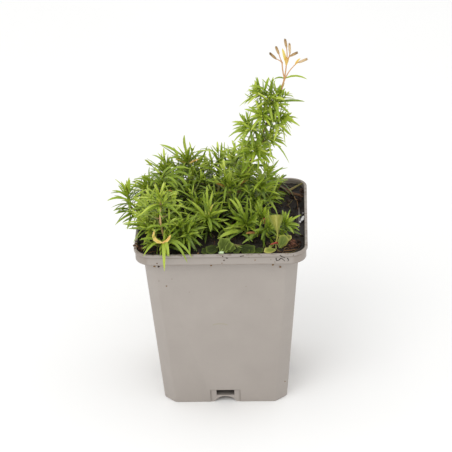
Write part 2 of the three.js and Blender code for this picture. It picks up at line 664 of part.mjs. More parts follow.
function makeShoots() {
  for (const { name, axes } of SHOOTS) {
    for (const { way } of axes) {
      const spots = pathOf(way).getPoints(4 * way.length);
      stand(name, spots, spots.map(() => STEM.radius));
    }
  }
  const reached = new Map();
  for (const { name, axes } of SHOOTS) {
    const leaves = axes.flatMap(({ way, reach }) => reach.map((spot) => reachedLeaf(pathOf(way), spot)));
    const clear = [];
    for (const leaf of leaves) {
      if (isClear(name, leaf)) {
        standLeaf(name, leaf);
        clear.push(leaf);
      }
    }
    reached.set(name, clear);
  }
  return SHOOTS.map(({ name, finish, axes }, index) => {
    const random = seededStream(1000 + 77 * index);
    const grown = axes.flatMap((axis) => growPairs(name, axis, pathOf(axis.way), random));
    const rods = axes.map(({ way }) => stemRod(way, STEM.radius));
    const needles = [...reached.get(name), ...grown].map(needle);
    return meshOf(name, fuse([...rods, ...needles]), FINISH[finish]);
  });
}

// ---------- old seed head ----------

// Stalks as [half width, points...] and empty seed cups as [base, mouth].
const SEED_HEAD = {
  stalks: [
    [0.55, [32.2, 13, 161.6], [33, 13, 164.5], [34.1, 13, 168.2]],
    [0.4, [34.1, 13, 167.8], [33.2, 13, 173], [32.9, 12.6, 177.8]],
    [0.4, [34, 13, 167.8], [34.8, 13.2, 173], [35.3, 13.3, 177.8]],
    [0.3, [34.2, 13, 168], [36.8, 13.6, 172.4], [40.3, 14, 176.2], [42, 14, 177]],
    [0.3, [32.9, 12.6, 177.5], [31.6, 12, 179], [29.6, 11.6, 180.2]],
    [0.3, [32.9, 12.6, 177.5], [32, 13.4, 179.8], [31.3, 14, 182]],
    [0.3, [35.3, 13.3, 177.5], [35.6, 13.8, 181.5], [35.4, 14.2, 185.6]],
    [0.3, [35.3, 13.3, 177.5], [36.4, 12.6, 180], [37.1, 12, 183]],
    [0.3, [35.3, 13.3, 177.5], [36.2, 13.6, 179.4], [37.4, 14.2, 180.6]],
  ],
  cups: [
    [[29.9, 11.7, 180], [26.6, 11.2, 183.6]],
    [[31.4, 13.9, 181.7], [29.8, 14.4, 185.9]],
    [[35.4, 14.1, 185.2], [34.6, 14.4, 190]],
    [[37.1, 12.1, 182.7], [36.9, 11.8, 188.6]],
    [[37.1, 14.1, 180.4], [41.2, 15, 182.2]],
    [[41.6, 14, 176.8], [46.2, 14.2, 178.8]],
  ],
  cupRadius: 0.75,
  sides: 3, // of a stalk
  // dry bracts and the last green pair, as [root, tip, lift, width]
  leaves: [
    [[34.6, 13, 178], [33.2, 12, 186], 0.3, 1.6],
    [[40, 14, 175.8], [42.4, 13.4, 180.2], 0.3, 1.5],
    [[34.1, 13, 168.2], [45.6, 12, 168.2], 2, 1.5],
    [[34.1, 13, 168.2], [28.6, 13.6, 168], 0.8, 1.3],
  ],
};

function seedCup([base, mouth]) {
  const [from, to] = [point(base), point(mouth)];
  const length = from.distanceTo(to);
  const { cupRadius } = SEED_HEAD;
  const profile = [[0, 0], [1, 0.6], [0.8, 1], [0, 0.86]];
  const points = profile.map(([out, up]) => new THREE.Vector2(out * cupRadius, up * length));
  const geometry = new THREE.LatheGeometry(points, 5);
  const along = to.clone().sub(from).normalize();
  const turn = new THREE.Quaternion().setFromUnitVectors(new THREE.Vector3(0, 1, 0), along);
  return solidOf(geometry.applyQuaternion(turn).translate(from.x, from.y, from.z));
}

function archedLeaf([from, to, lift, width]) {
  const [root, tip] = [point(from), point(to)];
  const bend = root.clone().add(tip).multiplyScalar(0.5);
  bend.z += 2 * lift;
  return { root, bend, tip, width, facing: new THREE.Vector3(0, -0.5, 1) };
}

function makeSeedHead() {
  const stalks = SEED_HEAD.stalks.map(([radius, ...way]) => (
    rodAlong(pathOf(way), radius, way.length - 1, SEED_HEAD.sides)
  ));
  const cups = SEED_HEAD.cups.map(seedCup);
  const leaves = SEED_HEAD.leaves.map((leaf) => needle(archedLeaf(leaf)));
  return meshOf('seed_head', fuse([...stalks, ...cups, ...leaves]), FINISH.straw);
}

// ---------- weeds ----------

// Blades as [foot of the blade, its far end, width, upper side, fold, lobes]; each has a stalk
// from the weed's own foot.
const WEEDS = [
  {
    name: 'weed_seedling',
    finish: 'olive',
    foot: [28.6, -31, 84],
    crown: [28.6, -31.3, 94.6],
    blades: [
      [[29.1, -31.3, 100.5], [28.8, -30.6, 110], 7.4, [0.1, -1, 0.25], 0.35, 0],
      [[30, -32, 95.6], [35.2, -34.6, 95.4], 5, [-0.1, -0.35, 1], 0.15, 0],
      [[30.6, -30.4, 96.4], [36.4, -30.6, 98.6], 4.6, [-0.3, -0.35, 1], 0.15, 0],
      [[27.4, -34, 95.4], [22.8, -40.5, 95.4], 5, [0.1, -0.2, 1], 0.1, 0],
    ],
  },
  {
    name: 'weed_creeper',
    finish: 'deep',
    foot: [5, -30, 84],
    crown: [5.2, -30.6, 94],
    blades: [
      [[3.6, -31.6, 94.6], [-3.6, -36.4, 94.8], 8, [0.1, -0.3, 1], 0.12, 0.13],
      [[7.6, -32.4, 94.6], [17, -38.6, 94.8], 8, [0, -0.3, 1], 0.12, 0.13],
      [[4.6, -33, 94.8], [7.4, -40, 95], 6.4, [0, -0.3, 1], 0.12, 0.13],
      [[1.6, -29.6, 96], [-6.4, -32.4, 97], 5, [0.1, -0.3, 1], 0.12, 0.13],
    ],
  },
];
const BLADE = { thick: 0.6, corners: 12, stalk: 0.5, bends: 2, sides: 3 };

function bladeSolid([foot, end, width, upper, fold, lobes]) {
  const [from, to] = [point(foot), point(end)];
  const along = to.clone().sub(from);
  const across = new THREE.Vector3().crossVectors(point(upper), along).normalize();
  const above = new THREE.Vector3().crossVectors(along, across).normalize();
  const geometry = new THREE.CylinderGeometry(1, 1, BLADE.thick, BLADE.corners);
  const place = geometry.attributes.position;
  for (let i = 0; i < place.count; i += 1) {
    const out = Math.hypot(place.getX(i), place.getZ(i));
    const turn = Math.atan2(place.getX(i), place.getZ(i));
    const ripple = 1 + lobes * Math.cos(7 * turn);
    const share = 0.5 + 0.5 * out * ripple * Math.cos(turn);
    const aside = (width / 2) * out * ripple * Math.sin(turn) * (0.5 + 0.7 * Math.min(1, share));
    const spot = from.clone()
      .addScaledVector(along, share)
      .addScaledVector(across, aside)
      .addScaledVector(above, place.getY(i) + fold * Math.abs(aside));
    place.setXYZ(i, spot.x, spot.y, spot.z);
  }
  return solidOf(geometry);
}

function makeWeed({ name, finish, foot, crown, blades }) {
  const root = rodAlong(pathOf([foot, crown]), BLADE.stalk, 1, BLADE.sides);
  const stalks = blades.map(([from, end]) => {
    const inside = point(from).lerp(point(end), 0.25);
    return rodAlong(pathOf([crown, from, inside.toArray()]), BLADE.stalk, BLADE.bends, BLADE.sides);
  });
  return meshOf(name, fuse([root, ...stalks, ...blades.map(bladeSolid)]), FINISH[finish]);
}

// Keeps the leaves clear of a weed: its stalks, and three stretches along each blade.
function standWeed({ name, foot, crown, blades }) {
  stand(name, [point(foot), point(crown)], [BLADE.stalk, BLADE.stalk]);
  for (const [from, end, width, upper] of blades) {
    stand(name, [point(crown), point(from)], [BLADE.stalk, BLADE.stalk]);
    const along = point(end).sub(point(from));
    const across = new THREE.Vector3().crossVectors(point(upper), along).normalize();
    for (const aside of [-width / 3, 0, width / 3]) {
      const ends = [point(from), point(end)].map((spot) => spot.addScaledVector(across, aside));
      stand(name, ends, [width / 6 + 0.5, width / 6 + 0.5]);
    }
  }
}

// ---------- the plant in its pot ----------

const plant = new THREE.Group();
plant.add(meshOf('pot', makePot(), FINISH.plastic));
const buried = [...SHOOTS.map(({ axes }) => axes[0].way), ...WEEDS.map(({ foot, crown }) => [foot, crown])];
plant.add(meshOf('soil', makeSoil(buried), FINISH.peat));
WEEDS.forEach(standWeed);
SEED_HEAD.stalks.forEach(([radius, ...way]) => stand('seed_head', way.map(point), way.map(() => radius)));
makeShoots().forEach((mesh) => plant.add(mesh));
plant.add(makeSeedHead());
WEEDS.forEach((weed) => plant.add(makeWeed(weed)));

export default plant;
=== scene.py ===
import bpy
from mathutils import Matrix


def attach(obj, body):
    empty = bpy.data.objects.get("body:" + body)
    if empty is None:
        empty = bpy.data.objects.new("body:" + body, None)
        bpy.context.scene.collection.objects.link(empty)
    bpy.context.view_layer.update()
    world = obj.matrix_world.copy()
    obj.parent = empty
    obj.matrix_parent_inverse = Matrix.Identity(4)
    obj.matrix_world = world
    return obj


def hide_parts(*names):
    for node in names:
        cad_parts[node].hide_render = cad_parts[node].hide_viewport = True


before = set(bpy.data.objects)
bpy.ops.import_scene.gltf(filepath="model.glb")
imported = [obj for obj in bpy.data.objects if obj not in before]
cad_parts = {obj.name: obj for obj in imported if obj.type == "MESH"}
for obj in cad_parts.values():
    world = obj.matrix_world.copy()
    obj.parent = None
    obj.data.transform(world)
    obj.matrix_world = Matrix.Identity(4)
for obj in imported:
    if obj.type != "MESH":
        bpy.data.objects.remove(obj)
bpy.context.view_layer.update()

import math
from functools import partial

import bpy
import numpy as np
from bpy.props import FloatProperty, IntProperty, PointerProperty, StringProperty
from bpy.types import Operator, Panel, PropertyGroup
from mathutils import Matrix

bl_info = {
    "name": "Creeping phlox in a nursery pot",
    "version": (1, 0, 0),
    "blender": (4, 5, 0),
    "location": "View3D > Sidebar > Phlox",
    "description": "Dresses the packed plant, its pot and its soil, and sets the stage",
    "category": "Object",
}

# The plant's numbers are millimetres, +Z up, with the origin in the middle of the pot's
# underside and the front facing -Y. MM turns them to the scene's metres.
MM = 0.001

# ---------- sizes that the solids share ----------

POT_WIDTH = 90
POT_HEIGHT = 95.5
BAND_HEIGHT = 6.2
BAND_CORNER = 10
CORNER_STEPS = 10
BAND_WALL = 1.5
LEDGE = 1.2
BODY_TOP = 80.6
BODY_BASE = 65.8
CHAMFER = 6.1
POT_WALL = 1.2
POT_FLOOR = 1.6
# The lip on the band, and how far the band stands back under it.
LIP_HEIGHT = 1.5
LIP_STEP = 0.7
BODY_TOP_Z = POT_HEIGHT - BAND_HEIGHT
LIP_Z = POT_HEIGHT - LIP_HEIGHT
LEDGE_TOP_Z = BODY_TOP_Z + LEDGE
# How far the walls move out for each millimetre up.
WALL_SLOPE = (BODY_TOP - BODY_BASE) / 2 / BODY_TOP_Z
# Rounding of the body's upright edges and foot, the band's foot, the lip and its inner edge.
CORNER_ROUND, FOOT_ROUND, BAND_ROUND, LIP_ROUND, MOUTH_ROUND = 0.9, 0.5, 0.4, 0.35, 0.3
# Each wall's drain: a slot in a shallow flat, over an arch in the floor with a plate on it.
SLOT_WIDTH = 9.6
SLOT_HEIGHT = 7.8
SLOT_DEPTH = 8
FLAT_WIDTH = 16
FLAT_DEPTH = 0.5
ARCH_WIDTH = 12
ARCH_HEIGHT = 3.4
PLATE = 0.6
PLATE_WIDTH = 10.4
# The room that the soil leaves over each drain.
HOLLOW_WIDTH = 19.2
HOLLOW_DEPTH = 9.2
SOIL_TOP = 92
SOIL_MOUND = 2
SOIL_SINK = 3.4
SOIL_GAP = 0.3
SOIL_CORNER_STEPS = 8
CRUST_DEPTH = 1.3
CRUST_CORNER = 8.4
CRUST_CELLS = 120
# Lumps in the crust: how wide and how high.
CRUST_LUMPS = ((7, 1.0), (2.2, 1.1))
# The pit in the soil under the open ledge at the right: its ends in x, y and z.
SOIL_PIT = ((33, 47), (-19.5, 22.5), (89, 101))
STEM_RADIUS = 0.75
SPRIG_RADIUS = 0.4
# Leaves: how wide, at what share of their length the solids' ones are widest, the air they keep
# to other shoots and to the pot, and how far the finer ones' bend rises for their level reach.
LEAF_WIDTH = 1.75
LEAF_WIDEST = 0.4
LEAF_GAP = 0.15
POT_GAP = 0.35
LEAF_ARCH = 0.09
# The turn from one bud leaf or side sprig to the next, in radians.
SPIRAL_TURN = 2.4
# The camera: what it looks at, its focal length and the picture's width in pixels, and its sensor.
CAMERA_TARGET = (1.761, 0, 89.201)
FOCAL_PIXELS = 2237.5
PICTURE_PIXELS = 452
SENSOR = 36
# The lamp, in metres: where it is, what it points at and how wide it is.
LAMP_PLACE = (-0.45, -0.75, 1.05)
LAMP_TARGET = (0, 0, 0.1)
LAMP_SIZE = 0.7
FLOOR_RADIUS = 4


def soil_height(x, y):
    """The top of the soil's solid: a low mound with lumps."""
    mound = SOIL_MOUND * np.exp(-(x * x + y * y) / 700)
    lumps = 0.5 * np.sin(0.25 * x + 1.3) * np.cos(0.22 * y) + 0.3 * np.sin(0.4 * x + 0.35 * y)
    return SOIL_TOP + mound + lumps


def eased(value, low, high):
    """0 below low, 1 above high, and smooth between."""
    share = np.clip((value - low) / (high - low), 0, 1)
    return share * share * (3 - 2 * share)


def soil_top(x, y):
    """The crust: sunk off the ledge at the right, heaped at the back right and front right."""
    x, y = np.asarray(x, float), np.asarray(y, float)
    sunk = eased(x, 31, 37) * eased(y, -19, -13) * eased(-y, -22, -15)
    heap = np.exp(-((x - 36) ** 2) / 50 - (y - 27) ** 2 / 30)
    front = np.exp(-((x - 34) ** 2) / 60 - (y + 34) ** 2 / 40)
    return soil_height(x, y) + 0.35 - SOIL_SINK * sunk + 1.4 * heap + 0.7 * front


def on_open_ledge(x, y):
    """Whether the crust is sunk so low there that it leaves the pot's ledge bare."""
    return (np.abs(x) > BODY_TOP / 2 - POT_WALL) & (soil_top(x, y) < LEDGE_TOP_Z + 0.2)


# ---------- seeded numbers ----------

# The largest number of 32 bits.
WORD = 0xFFFFFFFF


def seeded_stream(seed):
    """A seeded stream of numbers from 0 to 1, the same one that places the solids' needles."""
    state = seed & WORD

    def draw():
        nonlocal state
        state = (state + 0x6D2B79F5) & WORD
        mixed = ((state ^ (state >> 15)) * (state | 1)) & WORD
        mixed = ((mixed + (((mixed ^ (mixed >> 7)) * (mixed | 61)) & WORD)) & WORD) ^ mixed
        return (mixed ^ (mixed >> 14)) / (WORD + 1)

    return draw


# ---------- paths ----------

def unit(vectors):
    """Vectors drawn out or in to a length of 1."""
    return vectors / np.linalg.norm(vectors, axis=-1, keepdims=True)


def vectors_of(*places):
    """Places as arrays of numbers."""
    return [np.array(place, float) for place in places]


class Path:
    """A smooth way through points: a Catmull-Rom curve with tension 0.5."""

    def __init__(self, way):
        way = np.array(way, float)
        before, after = 2 * way[0] - way[1], 2 * way[-1] - way[-2]
        self.points = np.vstack([before, way, after])
        self.spans = len(way) - 1

    def point(self, share):
        """Places at shares of the way, from 0 to 1."""
        share = np.atleast_1d(np.asarray(share, float))
        place = np.clip(share, 0, 1) * self.spans
        span = np.minimum(np.floor(place).astype(int), self.spans - 1)
        part = (place - span)[:, None]
        p0, p1, p2, p3 = (self.points[span + i] for i in range(4))
        leave, arrive = (p2 - p0) / 2, (p3 - p1) / 2
        square = -3 * p1 + 3 * p2 - 2 * leave - arrive
        cube = 2 * p1 - 2 * p2 + leave + arrive
        return p1 + leave * part + square * part**2 + cube * part**3

    def tangent(self, share):
        """Directions at shares of the way."""
        share = np.atleast_1d(np.asarray(share, float))
        return unit(self.point(np.minimum(share + 1e-4, 1)) - self.point(np.maximum(share - 1e-4, 0)))

    def length(self):
        return np.linalg.norm(np.diff(self.point(np.linspace(0, 1, 200)), axis=0), axis=1).sum()


# ---------- leaves and where they may stand ----------

class Leaf:
    """One leaf: a quadratic curve from root past bend to tip, how light it is, and how dry."""

    def __init__(self, root, bend, tip, width, facing, tone=0.5, dry=0.0):
        self.root, self.bend, self.tip, self.facing = vectors_of(root, bend, tip, facing)
        self.width, self.tone, self.dry = width, tone, dry

    def spots(self, shares):
        """Places at shares of the leaf's length."""
        t = np.asarray(shares)[:, None]
        return (1 - t) ** 2 * self.root + 2 * t * (1 - t) * self.bend + t**2 * self.tip


def half_width(share, width):
    """Half of a leaf's width along it: widest early on, and pointed."""
    share = np.clip(share, 0, 1)
    rise = np.sin(np.pi / 2 * np.minimum(1, share / LEAF_WIDEST))
    fall = np.minimum(1, (1 - share) / (1 - LEAF_WIDEST))
    return width / 2 * rise * fall**0.7


def drawn_half(share, width):
    """Half of a finer leaf's width along it: like a strap, with a blunt point."""
    share = np.clip(share, 0, 1)
    return width / 2 * (0.45 + 0.45 * np.minimum(1, share / 0.3)) * (1 - share**5) ** 0.9


# Shares of a leaf's length at which its room is measured.
SAMPLES = np.array([0.12, 0.36, 0.6, 0.8, 1])


def outside_rim(x, y):
    """How far a spot lies outside the rim's outer face, seen from above."""
    flat = POT_WIDTH / 2 - BAND_CORNER
    dx, dy = np.abs(x) - flat, np.abs(y) - flat
    corner = np.hypot(np.maximum(dx, 0), np.maximum(dy, 0))
    return corner + np.minimum(np.maximum(dx, dy), 0) - BAND_CORNER


def clear_of_pot(spots, room):
    """Whether spots are outside the pot, over its rim or over the soil in it."""
    x, y, z = spots.T
    out = outside_rim(x, y)
    inside = (out < -BAND_WALL - room) & (z > soil_height(x, y) + room)
    return np.all((out > room) | (z > POT_HEIGHT + room) | inside)


def distances(a, b, c, d):
    """Shortest distances between the straight stretch a-b and each stretch c-d."""
    along, other, apart = b - a, d - c, a - c
    aa, bb = along @ along, (other * other).sum(1)
    ab, ac, bc = other @ along, apart @ along, (other * apart).sum(1)
    spread = aa * bb - ab * ab
    flat = spread <= 1e-9
    first = np.where(flat, 0, np.clip((ab * bc - ac * bb) / np.where(flat, 1, spread), 0, 1))
    second = np.clip((ab * first + bc) / bb, 0, 1)
    again = np.clip((ab * second - ac) / aa, 0, 1)
    return np.linalg.norm(a + again[:, None] * along - c - second[:, None] * other, axis=1)


# Seeds of the streams for a shoot's pairs of leaves, for what fills it in, and for the soil.
PAIR_SEED, FILL_SEED, SEED_STEP = 1000, 9000, 77
SOIL_SEED, STUCK_SOIL_SEED = 4242, 77
# Room for this many stretches of stem and leaf.
STRETCHES = 120000
# Owners of what stands besides the shoots, which are counted from 0.
SEED_HEAD_OWNER, WEED_OWNER = 99, 100


class Standing:
    """What stands already: stretches with their ends, half width and owner."""

    def __init__(self):
        self.a, self.b = np.zeros((STRETCHES, 3)), np.zeros((STRETCHES, 3))
        self.middle = np.zeros((STRETCHES, 3))
        self.reach, self.half = np.zeros(STRETCHES), np.zeros(STRETCHES)
        self.owner, self.count = np.zeros(STRETCHES, int), 0

    def add(self, owner, points, halves):
        for a, b, first, second in zip(points[:-1], points[1:], halves[:-1], halves[1:]):
            i = self.count
            self.a[i], self.b[i], self.owner[i] = a, b, owner
            self.half[i] = max(first, second)
            self.reach[i] = np.linalg.norm(a - b) / 2 + self.half[i]
            self.middle[i] = (a + b) / 2
            self.count += 1

    def add_leaf(self, owner, leaf):
        self.add(owner, leaf.spots(SAMPLES), half_width(SAMPLES, leaf.width))

    def is_clear(self, owner, leaf, gap):
        """Whether a leaf keeps off the pot and its soil, and the gap to all that others own."""
        spots, halves = leaf.spots(SAMPLES), half_width(SAMPLES, leaf.width)
        if not clear_of_pot(spots, halves + POT_GAP):
            return False
        n = self.count
        for a, b, first, second in zip(spots[:-1], spots[1:], halves[:-1], halves[1:]):
            half = max(first, second)
            reach = np.linalg.norm(a - b) / 2 + half
            away = np.linalg.norm(self.middle[:n] - (a + b) / 2, axis=1)
            near = (away < reach + self.reach[:n] + gap) & (self.owner[:n] != owner)
            if near.any():
                room = half + self.half[:n][near] + gap
                if np.any(distances(a, b, self.a[:n][near], self.b[:n][near]) < room):
                    return False
        return True


# Tries for a leaf that is in another stem's way: more lean, more turn, share of its length.
TRIES = (
    (0, 0, 1), (-14, 0, 1), (0, 16, 1), (0, -16, 1), (-26, 0, 0.9),
    (14, 0, 0.9), (0, 32, 0.85), (0, -32, 0.85), (-20, 0, 0.62), (0, 0, 0.5),
)


def leaf_at(root, axis, turn, lean, length, width, arch):
    """A leaf from a stem's direction there, turned round it and leant off it by angles in radians."""
    reference = (1, 0, 0) if abs(axis[2]) > 0.95 else (0, 0, 1)
    first = unit(np.cross(axis, reference))
    outward = first * math.cos(turn) + np.cross(axis, first) * math.sin(turn)
    along = axis * math.cos(lean) + outward * math.sin(lean)
    back = outward * math.cos(lean) - axis * math.sin(lean)
    tip = root + along * length + back * length * arch
    return Leaf(root, root + along * length / 2, tip, width, axis)


def reached_leaf(path, spot):
    """A leaf to a set spot: share of the stem, x, y, z, lift of its middle, times wider."""
    share, x, y, z, lift, *wider = spot
    root, tip = vectors_of(path.point(share)[0], (x, y, z))
    bend = (root + tip) / 2 + (0, 0, 2 * lift)
    facing = path.tangent(share)[0] + (0, -0.25, 0)
    return Leaf(root, bend, tip, LEAF_WIDTH * (wider[0] if wider else 1), facing)


# ---------- the leafy stems ----------

# The kinds of fresh and of old shoots, and how light their leaves and their stems are.
FRESH_LEAF, OLD_LEAF = "fresh_leaf", "deep_leaf"
LEAF_TONES = {FRESH_LEAF: 0.34, OLD_LEAF: 0.12}
STEM_TONES = {FRESH_LEAF: 0.5, OLD_LEAF: 0.3}
# Leaves over this height are lighter, and those under it darker.
PLAIN_HEIGHT = 112


class Stem:
    """A leafy stem, with its way from the buried foot past each bend to the growing tip.

    start: how far up the leaves start. pairs: pairs of leaves. long: the longest leaf.
    spread: how far the lowest and the topmost leaves lean from the stem, in degrees.
    arch: how much of its length a leaf bends back. reach: leaves that go to a set spot, as
    reached_leaf reads them. sprigs: side sprigs, as share of the stem and growing tip.
    """

    def __init__(
        self, way, start=0.4, pairs=9, long=14, spread=(92, 30), arch=0.12, reach=(), sprigs=(),
    ):
        self.path, self.bends = Path(way), len(way)
        self.start, self.pairs, self.long, self.spread, self.arch = start, pairs, long, spread, arch
        self.reach, self.sprigs = reach, sprigs


class Shoot:
    """A shoot of one stem, or more where stems are given, and what is listed for it.

    lighter: how much lighter all its leaves are. tan: how tan its stem is. bare: from what
    height to what height the front of its stem is bare. is_open: it has no sprigs but the set
    ones. single: leaves as root, bend, tip, width, tone. withered: the same, with dryness.
    """

    def __init__(
        self, name, way=(), finish=FRESH_LEAF, lighter=0, tan=0.0, bare=(0, 0), is_open=False,
        single=(), withered=(), stems=(), **stem,
    ):
        self.name, self.finish, self.stems = name, finish, stems or [Stem(way, **stem)]
        self.lighter, self.tan, self.bare, self.is_open = lighter, tan, bare, is_open
        self.single, self.withered = single, withered


# The stems of the tall shoot: the main one, and its branches.
TALL = [
    Stem([
        (4, 8, 84), (5, 8, 95), (11, 9, 112), (17, 10, 126), (22, 10, 138), (25, 10, 146),
        (27.5, 11, 152), (30, 12, 157.5), (32, 13, 161),
    ], start=0.45, pairs=12, long=11, reach=[
        (0.9, 25.5, 10, 171, 0), (0.9, 28, 9, 171.5, 0), (0.88, 22, 12, 169, 0.5),
        (0.9, 32, 6.5, 168, 0), (0.9, 34, 20, 163, 0.5), (0.94, 45, 11, 156, 1), (0.88, 36, 1, 157, 1),
        (0.86, 35, 20, 150, 1), (0.72, 18, 2, 155, 0.5), (0.45, 6, 2, 133, 1), (0.42, 21, 14, 120, 1),
    ], sprigs=[
        (0.25, 12, 4, 121), (0.28, 5, 7, 125), (0.34, 8, 9, 130), (0.3, 2, 12, 127), (0.32, 16, 5, 124),
        (0.4, 20, 6, 126), (0.42, 14, 8, 132), (0.4, 23, 8, 129), (0.5, 26, 6, 135), (0.6, 30, 8, 144),
        (0.7, 29, 8, 153), (0.72, 22, 10, 153), (0.8, 30, 8, 158), (0.78, 25, 7, 159),
    ]),
    Stem([(28, 11.5, 155), (24.5, 12.5, 159.5), (20.5, 13, 162)], start=0.25, pairs=9, long=10, reach=[
        (0.9, 19, 10, 171, 0), (0.9, 12, 7, 166, 0.5), (0.6, 10, 10, 154, 1), (0.8, 14, 20, 153, 1),
    ], sprigs=[(0.6, 20, 8, 162), (0.7, 17, 12, 158)]),
    Stem([(21, 10, 136), (17, 9, 141), (14, 8, 144.5)], start=0.3, pairs=7, long=11, reach=[
        (0.9, 10, 5, 153, 0), (0.95, 15, 3, 155, 0), (0.9, 6, 6, 147, 0.5), (0.8, 6, 14, 141, 1),
        (0.7, 4, 4, 139, 1), (0.5, 6, 5, 135, 1.5), (0.7, 12, -4, 141, 1),
    ], sprigs=[(0.6, 16, 4, 144)]),
    Stem([(26, 10, 148), (30, 9.5, 147.5), (33, 9, 147.5)], start=0.3, pairs=8, long=10, reach=[
        (0.9, 41, 5, 149, 0.5), (0.9, 42, 8, 143, 0.5), (0.9, 39, 0, 150, 0.5), (0.8, 37, 0, 143, 1),
        (0.8, 34, 3, 135, 1), (0.6, 28, 4, 134, 1.5), (0.9, 36, 4, 153, 0),
    ], sprigs=[(0.6, 31, 4, 146)]),
    Stem([(25, 10, 146), (23, 8, 149), (22, 6, 151)], start=0.3, pairs=7, long=10),
    Stem([(17, 10, 126), (18, 7.5, 129), (18.5, 5.5, 132)], start=0.3, pairs=7, long=11.5, reach=[
        (0.9, 16, 6, 141, 0), (0.9, 21, 3, 143, 0), (0.8, 11, 8, 136, 0.5), (0.7, 10, 0, 132, 1),
        (0.7, 22, -3, 126, 1), (0.7, 26, 4, 124, 1),
    ]),
    Stem([(20, 10, 133), (24, 9.5, 135), (26, 9, 138)], pairs=6, long=11, reach=[
        (0.7, 33, 6, 137, 0.5), (0.6, 35, 6, 132, 1.5), (0.5, 36, 5, 123, 3), (0.9, 27, 8, 146, 0),
        (0.4, 28, 5, 123, 1.5),
    ]),
]
